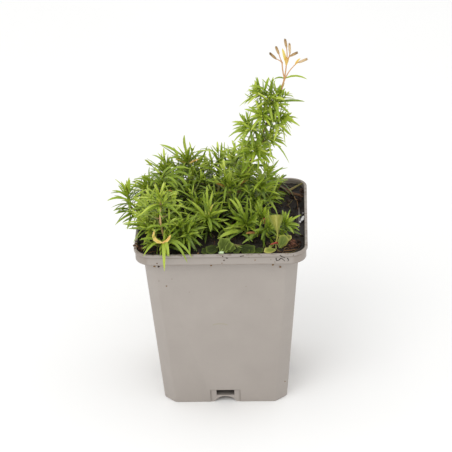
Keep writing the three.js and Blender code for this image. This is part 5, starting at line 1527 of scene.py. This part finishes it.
def peat_finish(add):
    """Moist peat mix: near black, with brown grains and pale fibres, and no shine but where wet."""
    place = place_in_mm(add)
    tone, dry = (add("Attribute", attribute_name=mark).outputs["Fac"] for mark in ("tone", "dry"))
    # Grains of about 1 mm, in patches of about 6 mm.
    grain, patch = add("TexNoise", place, 1 / 1.1, 4, 0.6), add("TexNoise", place, 1 / 6)
    mix = add("Math MULTIPLY_ADD", grain, 0.55, add("Math MULTIPLY", patch, 0.35))
    mix = add("Math MULTIPLY_ADD", tone, 0.4, add("Math SUBTRACT", mix, 0.2))
    straw = add("Math MULTIPLY_ADD", patch, 0.5, add("Math SUBTRACT", tone, 0.25))
    earth, straw = add("ValToRGB", mix, stops=EARTHS), add("ValToRGB", straw, stops=FIBRES)
    return {
        "Base Color": add("Mix", dry, earth, straw, data_type="RGBA"),
        "Roughness": add("Math MULTIPLY_ADD", patch, 0.4, 0.6), "Relief": (grain, 0.8, 0.5),
    }


def plastic_finish(add):
    """Moulded polypropylene: warm grey and satin, faintly mottled, dirty at its edges, with painted shade
    under the lip, under the band and at the drain flats, and wet at one side with a painted highlight.
    """
    settings, place = bpy.context.scene.phlox_pot, place_in_mm(add)
    x, y, z = add("SeparateXYZ", place).outputs
    side_x, side_y = add("Math ABSOLUTE", x), add("Math ABSOLUTE", y)
    reach, off_middle = add("Math MAXIMUM", side_x, side_y), add("Math MINIMUM", side_x, side_y)
    # The plastic is mottled over about 15 mm and grained at about 0.6 mm.
    cloud, grain = add("TexNoise", place, 1 / 15, 3), add("TexNoise", place, 1 / 0.6)
    mix = add("Math MULTIPLY_ADD", grain, 0.3, add("Math MULTIPLY", cloud, 0.7))
    mottling = ((0.25, settings.shade), (0.5, settings.plastic), (0.75, settings.light))
    colour = add("ValToRGB", mix, stops=mottling)
    # How far a spot lies from the middle of the front, and from the curve of a stain there.
    aside = add("Math ADD", x, 1.5)
    curve = add("Math MULTIPLY_ADD", add("Math POWER", aside, 2), -0.05, 50.6)
    from_curve = add("Math ABSOLUTE", add("Math SUBTRACT", z, curve))
    aside = add("Math ABSOLUTE", aside)
    # The edges of the flat round each drain slot, painted darker as shade where its step casts a shadow,
    # with some dirt.
    half, top = FLAT_WIDTH / 2, SLOT_HEIGHT
    beside = add("MapRange", off_middle, half - 1.1, half - 0.2)
    flat_edge_shade = add("Math MAXIMUM", beside, add("MapRange", z, top - 1, top - 0.1))
    # Patches of about 9 mm that break up the painted shade under the lip and the band.
    shade_patches = add("TexNoise", place, 1 / 9, 3)
    for code, strength, *limits in (
        # Soil dust clings in specks of about 1 mm near the rim.
        ("#5b4a39", 1, (add("TexNoise", place, 1 / 1.6, 4, 0.7), 0.69, 0.75), (z, 60, 95)),
        # A faint stain curves across the front wall, 9 mm long.
        ("#94906a", 0.3, (from_curve, 0.7, 0.2), (aside, 4.6, 3.4), (y, -20, -30)),
        # Painted shade, with some dirt, along the side and top edges of each drain flat.
        ("#5f574c", 0.3, (flat_edge_shade, 0, 1), (off_middle, half + 0.3, half + 0.1),
         (z, top + 0.3, top + 0.1), (reach, 30, 31)),
        # Soil is smeared along the top of the lip in streaks of about 4 mm.
        ("#5e4833", 0.55, (z, 94.9, 95.3), (add("TexNoise", place, 1 / 4, 4, 0.6), 0.5, 0.62)),
        # The band is a little greyer towards its upper edge, and brown inside.
        ("#75695a", 0.22, (z, 89, 93.5), (cloud, 0.2, 0.7)),
        ("#5c431c", 0.2, (reach, 44.1, 43.7), (z, 89.6, 90.4)),
        # Painted shade, broken into patches, darkens the plastic under the lip and under the band, where
        # their shadows fall.
        ("#6d5f50", 0.7, (z, 93.2, 93.8), (z, 94.3, 94), (shade_patches, 0.2, 0.6)),
        ("#6d5f50", 0.7, (z, 86.8, 88.8), (z, 90.2, 89.4), (shade_patches, 0.2, 0.6)),
    ):
        colour = add("Mix", within(add, strength, *limits), colour, code, data_type="RGBA")
    # A wet dark film lies on the open ledge at the right and the wall over it, with a pale streak painted
    # in as a highlight where light catches the ledge's edge.
    film = within(
        add, 1, (x, 38.6, 38.9), (x, 43.9, 43.7), (z, 90, 90.3), (z, 95.2, 94.6), (y, -24, -18),
        (y, 26, 20),
    )
    # The pale streak is a painted highlight: the film is taken back there to the lighter plastic.
    film = add("Math SUBTRACT", film, within(add, 0.7, (x, 40.3, 40.5), (x, 41, 40.8), (y, -5, -2)))
    dull = add("Math MULTIPLY_ADD", cloud, 0.12, 0.44)
    return {
        "Base Color": add("Mix", film, colour, "#241a13", data_type="RGBA"),
        "Roughness": add("Math MULTIPLY_ADD", film, -0.1, dull),
        "Specular IOR Level": add("Math MULTIPLY_ADD", film, -0.38, 0.5),
        "Relief": (grain, 0.12, 0.1),
    }


def perlite_and_glint_finish(add):
    """Expanded perlite: chalky white grains with fine pores, pure white so that they also show as painted
    glints on the wet ledge.
    """
    pores = add("TexNoise", place_in_mm(add), 1 / 0.4, 3)
    colour = add("ValToRGB", pores, stops=((0.3, "#efede8"), (0.5, "#ffffff")))
    return {"Base Color": colour, "Roughness": 0.7, "Relief": (pores, 0.3, 0.1)}


def moss_finish(add):
    """Old moss and coir: a rust-brown felt with paler, pinkish tips."""
    tone = add("Attribute", attribute_name="tone").outputs["Fac"]
    felt = add("TexNoise", place_in_mm(add), 1 / 0.7, 4, 0.7)
    mix = add("Math MULTIPLY_ADD", felt, 0.8, add("Math MULTIPLY_ADD", tone, 0.5, -0.25))
    colour = add("ValToRGB", mix, stops=FELTS)
    return {"Base Color": colour, "Roughness": 0.9, "Relief": (felt, 0.9, 0.4)}


def paper_finish(add):
    """Matte white paper sweep: flat and even, with the faintest cloud over 300 mm."""
    cloud = add("TexNoise", place_in_mm(add), 1 / 300)
    colour = add("ValToRGB", cloud, stops=((0.3, "#f7f7f6"), (0.7, "#fbfbfa")))
    return {"Base Color": colour, "Roughness": 0.9}


# Colours from dark or low to light or high, each with its place from 0 to 1.
LEAF_GREENS = ((0, "#3b4d18"), (0.3, "#5e7520"), (0.6, "#869e2b"), (0.85, "#a5b83e"), (1, "#bccb58"))
LEAF_DRIES = ((0.3, "#e8dc70"), (0.55, "#f2d47c"), (0.75, "#d59a4a"), (0.95, "#8d5a30"))
STEM_BARK = ((0, "#5f4433"), (0.35, "#8a6a4a"), (0.6, "#8d8a4c"), (0.9, "#8fa048"))
CALYX_TANS = ((0, "#5d4629"), (0.3, "#947449"), (0.6, "#c6a676"), (1, "#e6d0ae"))
STALK_TANS = ((0, "#9a6136"), (0.5, "#cf9a64"), (1, "#e2c3a0"))
STALK_REDS = ((0, "#7a2c24"), (0.5, "#b4493b"), (1, "#d08a72"))
SEEDLING_GREENS = ((0, "#56672a"), (0.35, "#788137"), (0.6, "#9c9c49"), (1, "#c0bc6c"))
CREEPER_GREENS = ((0, "#29340e"), (0.4, "#48561a"), (0.7, "#697931"), (1, "#8b9a4a"))
BUD_GREENS = ((0, "#8fae6c"), (0.5, "#b5cf98"), (1, "#cfe0b8"))
EARTHS = ((0.12, "#120c07"), (0.4, "#251a10"), (0.62, "#3f2d1c"), (0.82, "#67492c"), (1, "#8f6238"))
FIBRES = ((0, "#36230f"), (0.35, "#593b20"), (0.7, "#805c34"), (1, "#837a45"))
FELTS = ((0.15, "#1f130b"), (0.4, "#42291a"), (0.6, "#70452f"), (0.85, "#a87b60"))
# Each material's maker and what it is given.
FINISHES = {
    "phlox_needle_leaf": (leaf_finish,),
    "phlox_stem": (stem_finish,),
    "dried_calyx": (straw_finish, CALYX_TANS, 0.3),
    "dried_flower_stalk": (straw_finish, STALK_TANS),
    "red_stalk": (straw_finish, STALK_REDS),
    "seedling_leaf": (blade_finish, SEEDLING_GREENS),
    "creeper_leaf": (blade_finish, CREEPER_GREENS, 0.1),
    "pale_bud": (blade_finish, BUD_GREENS),
    "moist_peat_mix": (peat_finish,),
    "perlite": (perlite_and_glint_finish,),
    "moss": (moss_finish,),
    "moulded_polypropylene": (plastic_finish,),
    "white_paper_sweep": (paper_finish,),
}


def finish_named(name):
    """The material of that name, made when it is first asked for."""
    if name not in bpy.data.materials:
        material = bpy.data.materials.new(name)
        material.use_nodes = True
        add = partial(node, material.node_tree)
        maker, *more = FINISHES[name]
        given = maker(add, *more)
        if "Relief" in given:
            height, strength, depth = given.pop("Relief")
            given["Normal"] = bump = add("Bump")
            feed(bump, {"Height": height, "Strength": strength, "Distance": depth * MM})
        feed(material.node_tree.nodes["Principled BSDF"], given)
    return bpy.data.materials[name]


# ---------- settings ----------

class PhloxPlantSettings(PropertyGroup):
    """How densely the shoots are filled in."""

    fill: FloatProperty(
        name="Fill", description="Filling leaf pairs for each pair of the solids' leaves",
        default=0.7, min=0, max=4,
    )
    sprigs_apart: FloatProperty(
        name="Sprigs apart", description="Stem between one side sprig and the next",
        default=11 * MM, min=MM, unit="LENGTH",
    )
    sprig_length: FloatProperty(
        name="Sprig length", description="Stem of a side sprig", default=6 * MM, min=MM, unit="LENGTH",
    )
    bud_leaves: IntProperty(
        name="Bud leaves", description="Small leaves round each growing tip", default=5, min=0, max=20,
    )


class PhloxPotSettings(PropertyGroup):
    """The pot's colours, as sRGB hex."""

    plastic: StringProperty(name="Plastic", description="Main colour of the pot", default="#a49c95")
    shade: StringProperty(name="Shade", description="Darker mottling of the pot", default="#a09891")
    light: StringProperty(name="Light", description="Lighter mottling of the pot", default="#a8a099")


class PhloxSoilSettings(PropertyGroup):
    """How much lies on the soil."""

    crumbs: IntProperty(name="Crumbs", description="Crumbs of peat on the soil", default=1500, min=0)
    fibres: IntProperty(name="Fibres", description="Fibres lying on the soil", default=110, min=0)


class PhloxStageSettings(PropertyGroup):
    """The light and the camera."""

    sky: FloatProperty(name="Sky", description="Strength of the even white light", default=0.98, min=0)
    key: FloatProperty(
        name="Key lamp", description="Power of the large lamp, in watts", default=4.0, min=0,
    )
    azimuth: FloatProperty(
        name="Camera azimuth", description="Turn of the camera round the pot", default=math.radians(2.235),
        subtype="ANGLE", unit="ROTATION",
    )
    elevation: FloatProperty(
        name="Camera elevation", description="Height angle of the camera", default=math.radians(27.082),
        subtype="ANGLE", unit="ROTATION",
    )
    roll: FloatProperty(
        name="Camera roll", description="Tilt of the picture", default=math.radians(-1.758),
        subtype="ANGLE", unit="ROTATION",
    )
    distance: FloatProperty(
        name="Camera distance", description="From the camera to the point it looks at",
        default=1.1903, unit="LENGTH",
    )


# ---------- operators ----------

class PHLOX_OT_pot(Operator):
    """Models the moulded pot and lets it stand for its solid"""

    bl_idname = "phlox.pot"
    bl_label = "Pot"

    def execute(self, context):
        pot = tapered(BODY_TOP, 0, LEDGE_TOP_Z)
        soften(pot, lambda a, b: abs(a.z - b.z) > BODY_TOP_Z / 2, CORNER_ROUND)
        soften(pot, lambda a, b: max(a.z, b.z) < 0.1, FOOT_ROUND)
        width, corner = POT_WIDTH - 2 * LIP_STEP, BAND_CORNER - LIP_STEP
        band = prism(width, BODY_TOP_Z, LIP_Z + 0.5, corner, CORNER_STEPS)
        soften(band, lambda a, b: max(a.z, b.z) < BODY_TOP_Z + 0.1, BAND_ROUND)
        combine(pot, band, "UNION")
        lip = prism(POT_WIDTH, LIP_Z, POT_HEIGHT, BAND_CORNER, CORNER_STEPS)
        soften(lip, lambda a, b: abs(a.z - b.z) < 0.1, LIP_ROUND)
        combine(pot, lip, "UNION")
        inner = tapered(BODY_TOP - 2 * POT_WALL, POT_FLOOR, LEDGE_TOP_Z + 1)
        combine(pot, inner, "DIFFERENCE")
        width, corner = POT_WIDTH - 2 * BAND_WALL, BAND_CORNER - BAND_WALL
        inner = prism(width, LEDGE_TOP_Z, POT_HEIGHT + 1, corner, CORNER_STEPS)
        combine(pot, inner, "DIFFERENCE")
        soften(pot, lambda a, b: self.on_inner_edge(a) and self.on_inner_edge(b), MOUTH_ROUND)
        for side in range(4):
            for operation, tool in self.drain(side):
                combine(pot, tool, operation)
        # Nothing of the tools stays under the pot.
        under = box((-POT_WIDTH, POT_WIDTH), (-POT_WIDTH, POT_WIDTH), (-POT_WIDTH, 0))
        combine(pot, under, "DIFFERENCE")
        dress(pot, "pot_moulded", ["moulded_polypropylene"], "moulded_plastic", ("pot",))
        self.stuck_soil()
        return {"FINISHED"}

    @staticmethod
    def on_inner_edge(corner):
        """Whether a corner is on the upper edge of the pot's inner wall."""
        inside = max(abs(corner.x), abs(corner.y)) < POT_WIDTH / 2 - BAND_WALL + 0.2
        return inside and corner.z > POT_HEIGHT - 0.05

    @staticmethod
    def drain(side):
        """The drain's tools at the foot of one wall and how each is used. Cuts reach past the wall."""
        foot, half = -BODY_BASE / 2, SLOT_WIDTH / 2
        slot = box((-half, half), (foot - 2, foot + SLOT_DEPTH), (-1, SLOT_HEIGHT))
        half = FLAT_WIDTH / 2
        flat = box((-half, half), (FLAT_DEPTH - 2, FLAT_DEPTH), (-1, SLOT_HEIGHT))
        flat.data.transform(Matrix.Rotation(math.atan(WALL_SLOPE), 4, "X"))
        flat.data.transform(Matrix.Translation((0, foot * MM, 0)))
        half, inmost = PLATE_WIDTH / 2, foot + SLOT_DEPTH + PLATE
        plate = box((-half, half), (foot + FLAT_DEPTH, inmost), (0, ARCH_HEIGHT + PLATE))
        under = arch(foot - 1, foot + SLOT_DEPTH)
        for tool in (slot, flat, plate, under):
            turn_to_side(tool, side)
        return ("DIFFERENCE", slot), ("DIFFERENCE", flat), ("UNION", plate), ("DIFFERENCE", under)

    @staticmethod
    def stuck_soil():
        """Crumbs and hair roots of soil that stick on the outside of the pot."""
        pile, random = Pile(), seeded_stream(STUCK_SOIL_SEED)
        corners, faces = lump_master(2, 11)
        for x, y, z, size, tone in STUCK:
            tone = min(1, tone + 0.25)
            placed = corners @ turned(random) * size * STUCK_FORM + (x, y, z)
            pile.add(placed, faces, tone=0.72 * tone, dry=tone)
        rod = stem_master(5, 8)
        for way in HAIRS:
            bend_stem(pile, rod, Path(way), lambda share: 0.24 - 0.12 * share, 0, 0.0)
        pile.piece("soil_stuck_on_pot", ["moist_peat_mix"], "peat_mix")


class PHLOX_OT_soil(Operator):
    """Models the soil with its crust, crumbs, fibres, roots, perlite and moss, the perlite also standing
    in as painted glints on the wet ledge
    """

    bl_idname = "phlox.soil"
    bl_label = "Soil"

    def execute(self, context):
        settings = context.scene.phlox_soil
        self.body()
        self.crust()
        random = seeded_stream(SOIL_SEED)
        crumbs, fibres, grains, felt = Pile(), Pile(), Pile(), Pile()
        masters = [lump_master(1, seed) for seed in (3, 5, 9)] + [lump_master(2, 7)]
        scatter_crumbs(crumbs, masters, settings.crumbs, random)
        crumbs.piece("soil_crumbs", ["moist_peat_mix"], "peat_mix")
        scatter_fibres(fibres, stem_master(4, 6), settings.fibres, random)
        twig = stem_master(5, 10)
        for way, thick, tone in ROOTS:
            way = Path([(x, y, soil_top(x, y) + lift) for x, y, lift in way])
            bend_stem(fibres, twig, way, lambda share: thick * (1 - 0.5 * share), 0, tone, 1.0)
        fibres.piece("soil_fibres", ["moist_peat_mix"], "peat_mix")
        corners, faces = masters[0]
        # White perlite grains on the ledge, which are also painted glints of light on the wet film.
        for x, y, z, size in PERLITE_AND_GLINTS:
            grains.add(corners @ turned(random) * size + (x, y, z), faces)
        grains.piece("perlite_and_glint_grains", ["perlite"], "peat_mix")
        corners, faces = masters[3]
        for x, y, size, lumps, tone in MOSS:
            for _ in range(lumps):
                off = np.array([random() - 0.5, random() - 0.5, 1.2 * random()]) * size * 1.3
                spot = (x, y, soil_top(x, y)) + off
                lump = corners @ turned(random) * size * (0.25 + 0.2 * random())
                felt.add(lump + spot, faces, tone=min(1, tone + 0.4 * (random() - 0.5)))
        felt.piece("soil_moss", ["moss"], "peat_mix")
        return {"FINISHED"}

    @staticmethod
    def body():
        """The soil under the crust, down to the floor and out to the walls."""
        inner = BODY_TOP - 2 * (POT_WALL + SOIL_GAP)
        body = tapered(inner, POT_FLOOR + SOIL_GAP, LEDGE_TOP_Z - 0.4)
        wall = BAND_WALL + SOIL_GAP
        upper = prism(
            POT_WIDTH - 2 * wall, LEDGE_TOP_Z + SOIL_GAP, SOIL_TOP - 0.9, BAND_CORNER - wall,
            SOIL_CORNER_STEPS,
        )
        neck = prism(inner - 2, LEDGE_TOP_Z - 2, LEDGE_TOP_Z + 0.6, CHAMFER, 1)
        combine(body, neck, "UNION")
        combine(body, upper, "UNION")
        combine(body, box(*SOIL_PIT), "DIFFERENCE")
        half, foot = HOLLOW_WIDTH / 2, -BODY_BASE / 2
        for side in range(4):
            hollow = box((-half, half), (foot, foot + HOLLOW_DEPTH), (0, SLOT_HEIGHT + 1))
            turn_to_side(hollow, side)
            combine(body, hollow, "DIFFERENCE")
        dress(body, "soil_body", ["moist_peat_mix"], "peat_mix", ("soil",))

    @staticmethod
    def crust():
        """The top of the soil, out to the wall."""
        settle()
        width = POT_WIDTH - 2 * BAND_WALL - 0.2
        bpy.ops.mesh.primitive_grid_add(
            x_subdivisions=CRUST_CELLS, y_subdivisions=CRUST_CELLS, size=width * MM
        )
        crust = bpy.context.object
        place = np.array([v.co for v in crust.data.vertices]) / MM
        flat = width / 2 - CRUST_CORNER
        over = np.maximum(np.abs(place[:, :2]) - flat, 0)
        out = np.linalg.norm(over, axis=1)
        pull = np.where(out > CRUST_CORNER, CRUST_CORNER / np.maximum(out, 1e-6), 1)[:, None]
        place[:, :2] = np.sign(place[:, :2]) * (np.minimum(np.abs(place[:, :2]), flat) + over * pull)
        place[:, 2] = soil_top(place[:, 0], place[:, 1])
        crust.data.vertices.foreach_set("co", (place * MM).ravel())
        for size, strength in CRUST_LUMPS:
            lumps = bpy.data.textures.new(f"peat_{size}", "CLOUDS")
            lumps.noise_scale, lumps.noise_depth = size * MM, 2
            apply_modifier(
                crust, "DISPLACE", texture=lumps, strength=strength * MM, mid_level=0.4, direction="Z"
            )
        choose(crust, lambda co: on_open_ledge(co.x, co.y), "FACE")
        bpy.ops.mesh.delete(type="FACE")
        choose(crust, kind="FACE")
        extrude_up(-CRUST_DEPTH)
        turn_outwards(crust)
        dress(crust, "soil_crust", ["moist_peat_mix"], "peat_mix", smooth_angle=60)


class PHLOX_OT_shoots(Operator):
    """Grows the leafy shoots and lets each stand for its solid"""

    bl_idname = "phlox.shoots"
    bl_label = "Shoots"

    def execute(self, context):
        leaf, rod = leaf_master(), stem_master(7, 16)
        # The slots of what is added count these from 0.
        finishes = ["phlox_stem", "phlox_needle_leaf"]
        for shoot, leaves, side_stems in grow_plant():
            pile, tone = Pile(), STEM_TONES[shoot.finish]
            for path in side_stems:
                bend_stem(pile, rod, path, lambda share: SPRIG_RADIUS * (1 - 0.5 * share), 0, 0.75)
            for stem in shoot.stems:
                bend_stem(pile, rod, stem.path, self.stem_radius, 0, tone, shoot.tan)
            bend_leaves(pile, leaf, leaves, 1)
            pile.piece(shoot.name + "_leafy", finishes, shoot.finish, (shoot.name,), 35)
        return {"FINISHED"}

    @staticmethod
    def stem_radius(share):
        """Thinner towards the tip, and a little uneven."""
        return STEM_RADIUS * (0.92 - 0.42 * share) * (1 + 0.08 * np.sin(70 * share))


class PHLOX_OT_seed_head(Operator):
    """Models last year's flower head: stalks, empty seed cups, bracts and its last green pair"""

    bl_idname = "phlox.seed_head"
    bl_label = "Seed head"

    def execute(self, context):
        pile, leaves, rod, cup = Pile(), [], stem_master(7, 12), cup_master()
        # The slots of what is added count these from 0.
        finishes = ["dried_flower_stalk", "dried_calyx", "phlox_needle_leaf"]
        for radius, *way in SEED_STALKS:
            bend_stem(
                pile, rod, Path(way), lambda share: radius * (1 - 0.25 * share + 0.35 * share**8), 0, 0.6
            )
        for base, mouth, tone in SEED_CUPS:
            add_cup(pile, cup, base, mouth, 1, tone)
        for root, tip, lift, width, tone, dry in SEED_LEAVES:
            bend = (np.array(root, float) + tip) / 2 + (0, 0, 2 * lift)
            leaves.append(Leaf(root, bend, tip, width, (0, -0.5, 1), tone, dry))
        bend_leaves(pile, leaf_master(), leaves, 2)
        pile.piece("seed_head_dry", finishes, "dry_straw", ("seed_head",), 50)
        return {"FINISHED"}


class PHLOX_OT_weeds(Operator):
    """Models the seedling and the creeping weed"""

    bl_idname = "phlox.weeds"
    bl_label = "Weeds"

    def execute(self, context):
        rod, blade = stem_master(7, 8), blade_master()
        for weed in WEEDS:
            pile, (foot, crown) = Pile(), vectors_of(weed["foot"], weed["crown"])
            # The slots of what is added count these from 0.
            finishes = ["phlox_stem", weed["material"], "red_stalk", "pale_bud"]
            stalk = partial(add_stalk, pile, rod)
            stalk([foot, crown], 0.5, 0.1, 0, 0.2)
            for spec in weed["finer"]:
                start, end = vectors_of(*spec[:2])
                middle = (crown + start) / 2 + (0, 0, 0.6)
                stalk([crown, middle, start, start + (end - start) * 0.25], 0.34, 0.12, 0, 0.75)
                add_blade(pile, blade, spec, 1)
            if weed["name"] == "weed_creeper":
                corners, faces = lump_master(3, 21)
                pile.add(corners * BUD_SIZE + BUD_PLACE, faces, 3, tone=0.9)
            else:
                foot = np.array(FAN[0], float)
                middle = (crown + foot) / 2 + (0.2, -0.3, 0)
                stalk([crown, middle, foot, foot + (0, 0, 1.5)], 0.5, 0.1, 1, 0.7)
                add_fan(pile, fan_master(), 1, 0.55)
                stalk([crown + off for off in RED_STALK], 0.75, 0.4, 2, 0.5)
            pile.piece(weed["name"] + "_leaves", finishes, weed["slot"], (weed["name"],), 50)
        return {"FINISHED"}


class PHLOX_OT_stage(Operator):
    """Sets the pale floor, the soft light and the camera"""

    bl_idname = "phlox.stage"
    bl_label = "Stage"

    def execute(self, context):
        scene, settings = context.scene, context.scene.phlox_stage
        settle()
        bpy.ops.mesh.primitive_circle_add(vertices=64, radius=FLOOR_RADIUS, fill_type="NGON")
        floor = context.object
        floor.name = "paper_floor"
        floor.data.materials.append(finish_named("white_paper_sweep"))
        world = bpy.data.worlds.new("studio")
        scene.world = world
        world.use_nodes = True
        feed(world.node_tree.nodes["Background"], {"Color": "#ffffff", "Strength": settings.sky})
        lamp = bpy.data.lights.new("softbox", "AREA")
        lamp.energy, lamp.size = settings.key, LAMP_SIZE
        self.place(scene, lamp, LAMP_PLACE, np.subtract(LAMP_PLACE, LAMP_TARGET))
        a, e = settings.azimuth, settings.elevation
        back = np.array([math.sin(a) * math.cos(e), -math.cos(a) * math.cos(e), math.sin(e)])
        data = bpy.data.cameras.new("camera")
        data.sensor_width, data.lens = SENSOR, FOCAL_PIXELS / PICTURE_PIXELS * SENSOR
        seen_from = np.array(CAMERA_TARGET) * MM + back * settings.distance
        scene.camera = self.place(scene, data, seen_from, back, settings.roll)
        scene.view_settings.view_transform = "Standard"
        return {"FINISHED"}

    @staticmethod
    def place(scene, data, spot, back, roll=0):
        """Puts a lamp or camera at a spot, with its back along back and level but for the roll."""
        back = unit(back)
        right = unit(np.cross((0, 0, 1), back))
        axes = Matrix(np.column_stack([right, np.cross(back, right), back]).tolist())
        placed = bpy.data.objects.new(data.name, data)
        scene.collection.objects.link(placed)
        turned_axes = axes @ Matrix.Rotation(roll, 3, "Z")
        placed.matrix_world = Matrix.Translation(list(spot)) @ turned_axes.to_4x4()
        return placed


class PHLOX_PT_panel(Panel):
    """Lists the settings and the operators"""

    bl_label = "Phlox in a pot"
    bl_idname = "PHLOX_PT_panel"
    bl_space_type = "VIEW_3D"
    bl_region_type = "UI"
    bl_category = "Phlox"

    def draw(self, context):
        for label in ("phlox_plant", "phlox_pot", "phlox_soil", "phlox_stage"):
            group = getattr(context.scene, label)
            for key in group.bl_rna.properties.keys():
                if key not in ("rna_type", "name"):
                    self.layout.prop(group, key)
        for operator in OPERATORS:
            self.layout.operator(operator.bl_idname)


GROUPS = {
    "phlox_plant": PhloxPlantSettings,
    "phlox_pot": PhloxPotSettings,
    "phlox_soil": PhloxSoilSettings,
    "phlox_stage": PhloxStageSettings,
}
OPERATORS = (
    PHLOX_OT_pot, PHLOX_OT_soil, PHLOX_OT_shoots, PHLOX_OT_seed_head, PHLOX_OT_weeds, PHLOX_OT_stage,
)


def register():
    for group in GROUPS.values():
        bpy.utils.register_class(group)
    for label, group in GROUPS.items():
        setattr(bpy.types.Scene, label, PointerProperty(type=group))
    for operator in OPERATORS:
        bpy.utils.register_class(operator)
    bpy.utils.register_class(PHLOX_PT_panel)


def unregister():
    bpy.utils.unregister_class(PHLOX_PT_panel)
    for operator in reversed(OPERATORS):
        bpy.utils.unregister_class(operator)
    for label, group in GROUPS.items():
        delattr(bpy.types.Scene, label)
        bpy.utils.unregister_class(group)


def main():
    """Models everything in order."""
    register()
    bpy.ops.phlox.pot()
    bpy.ops.phlox.soil()
    bpy.ops.phlox.shoots()
    bpy.ops.phlox.seed_head()
    bpy.ops.phlox.weeds()
    bpy.ops.phlox.stage()


if __name__ == "__main__":
    main()
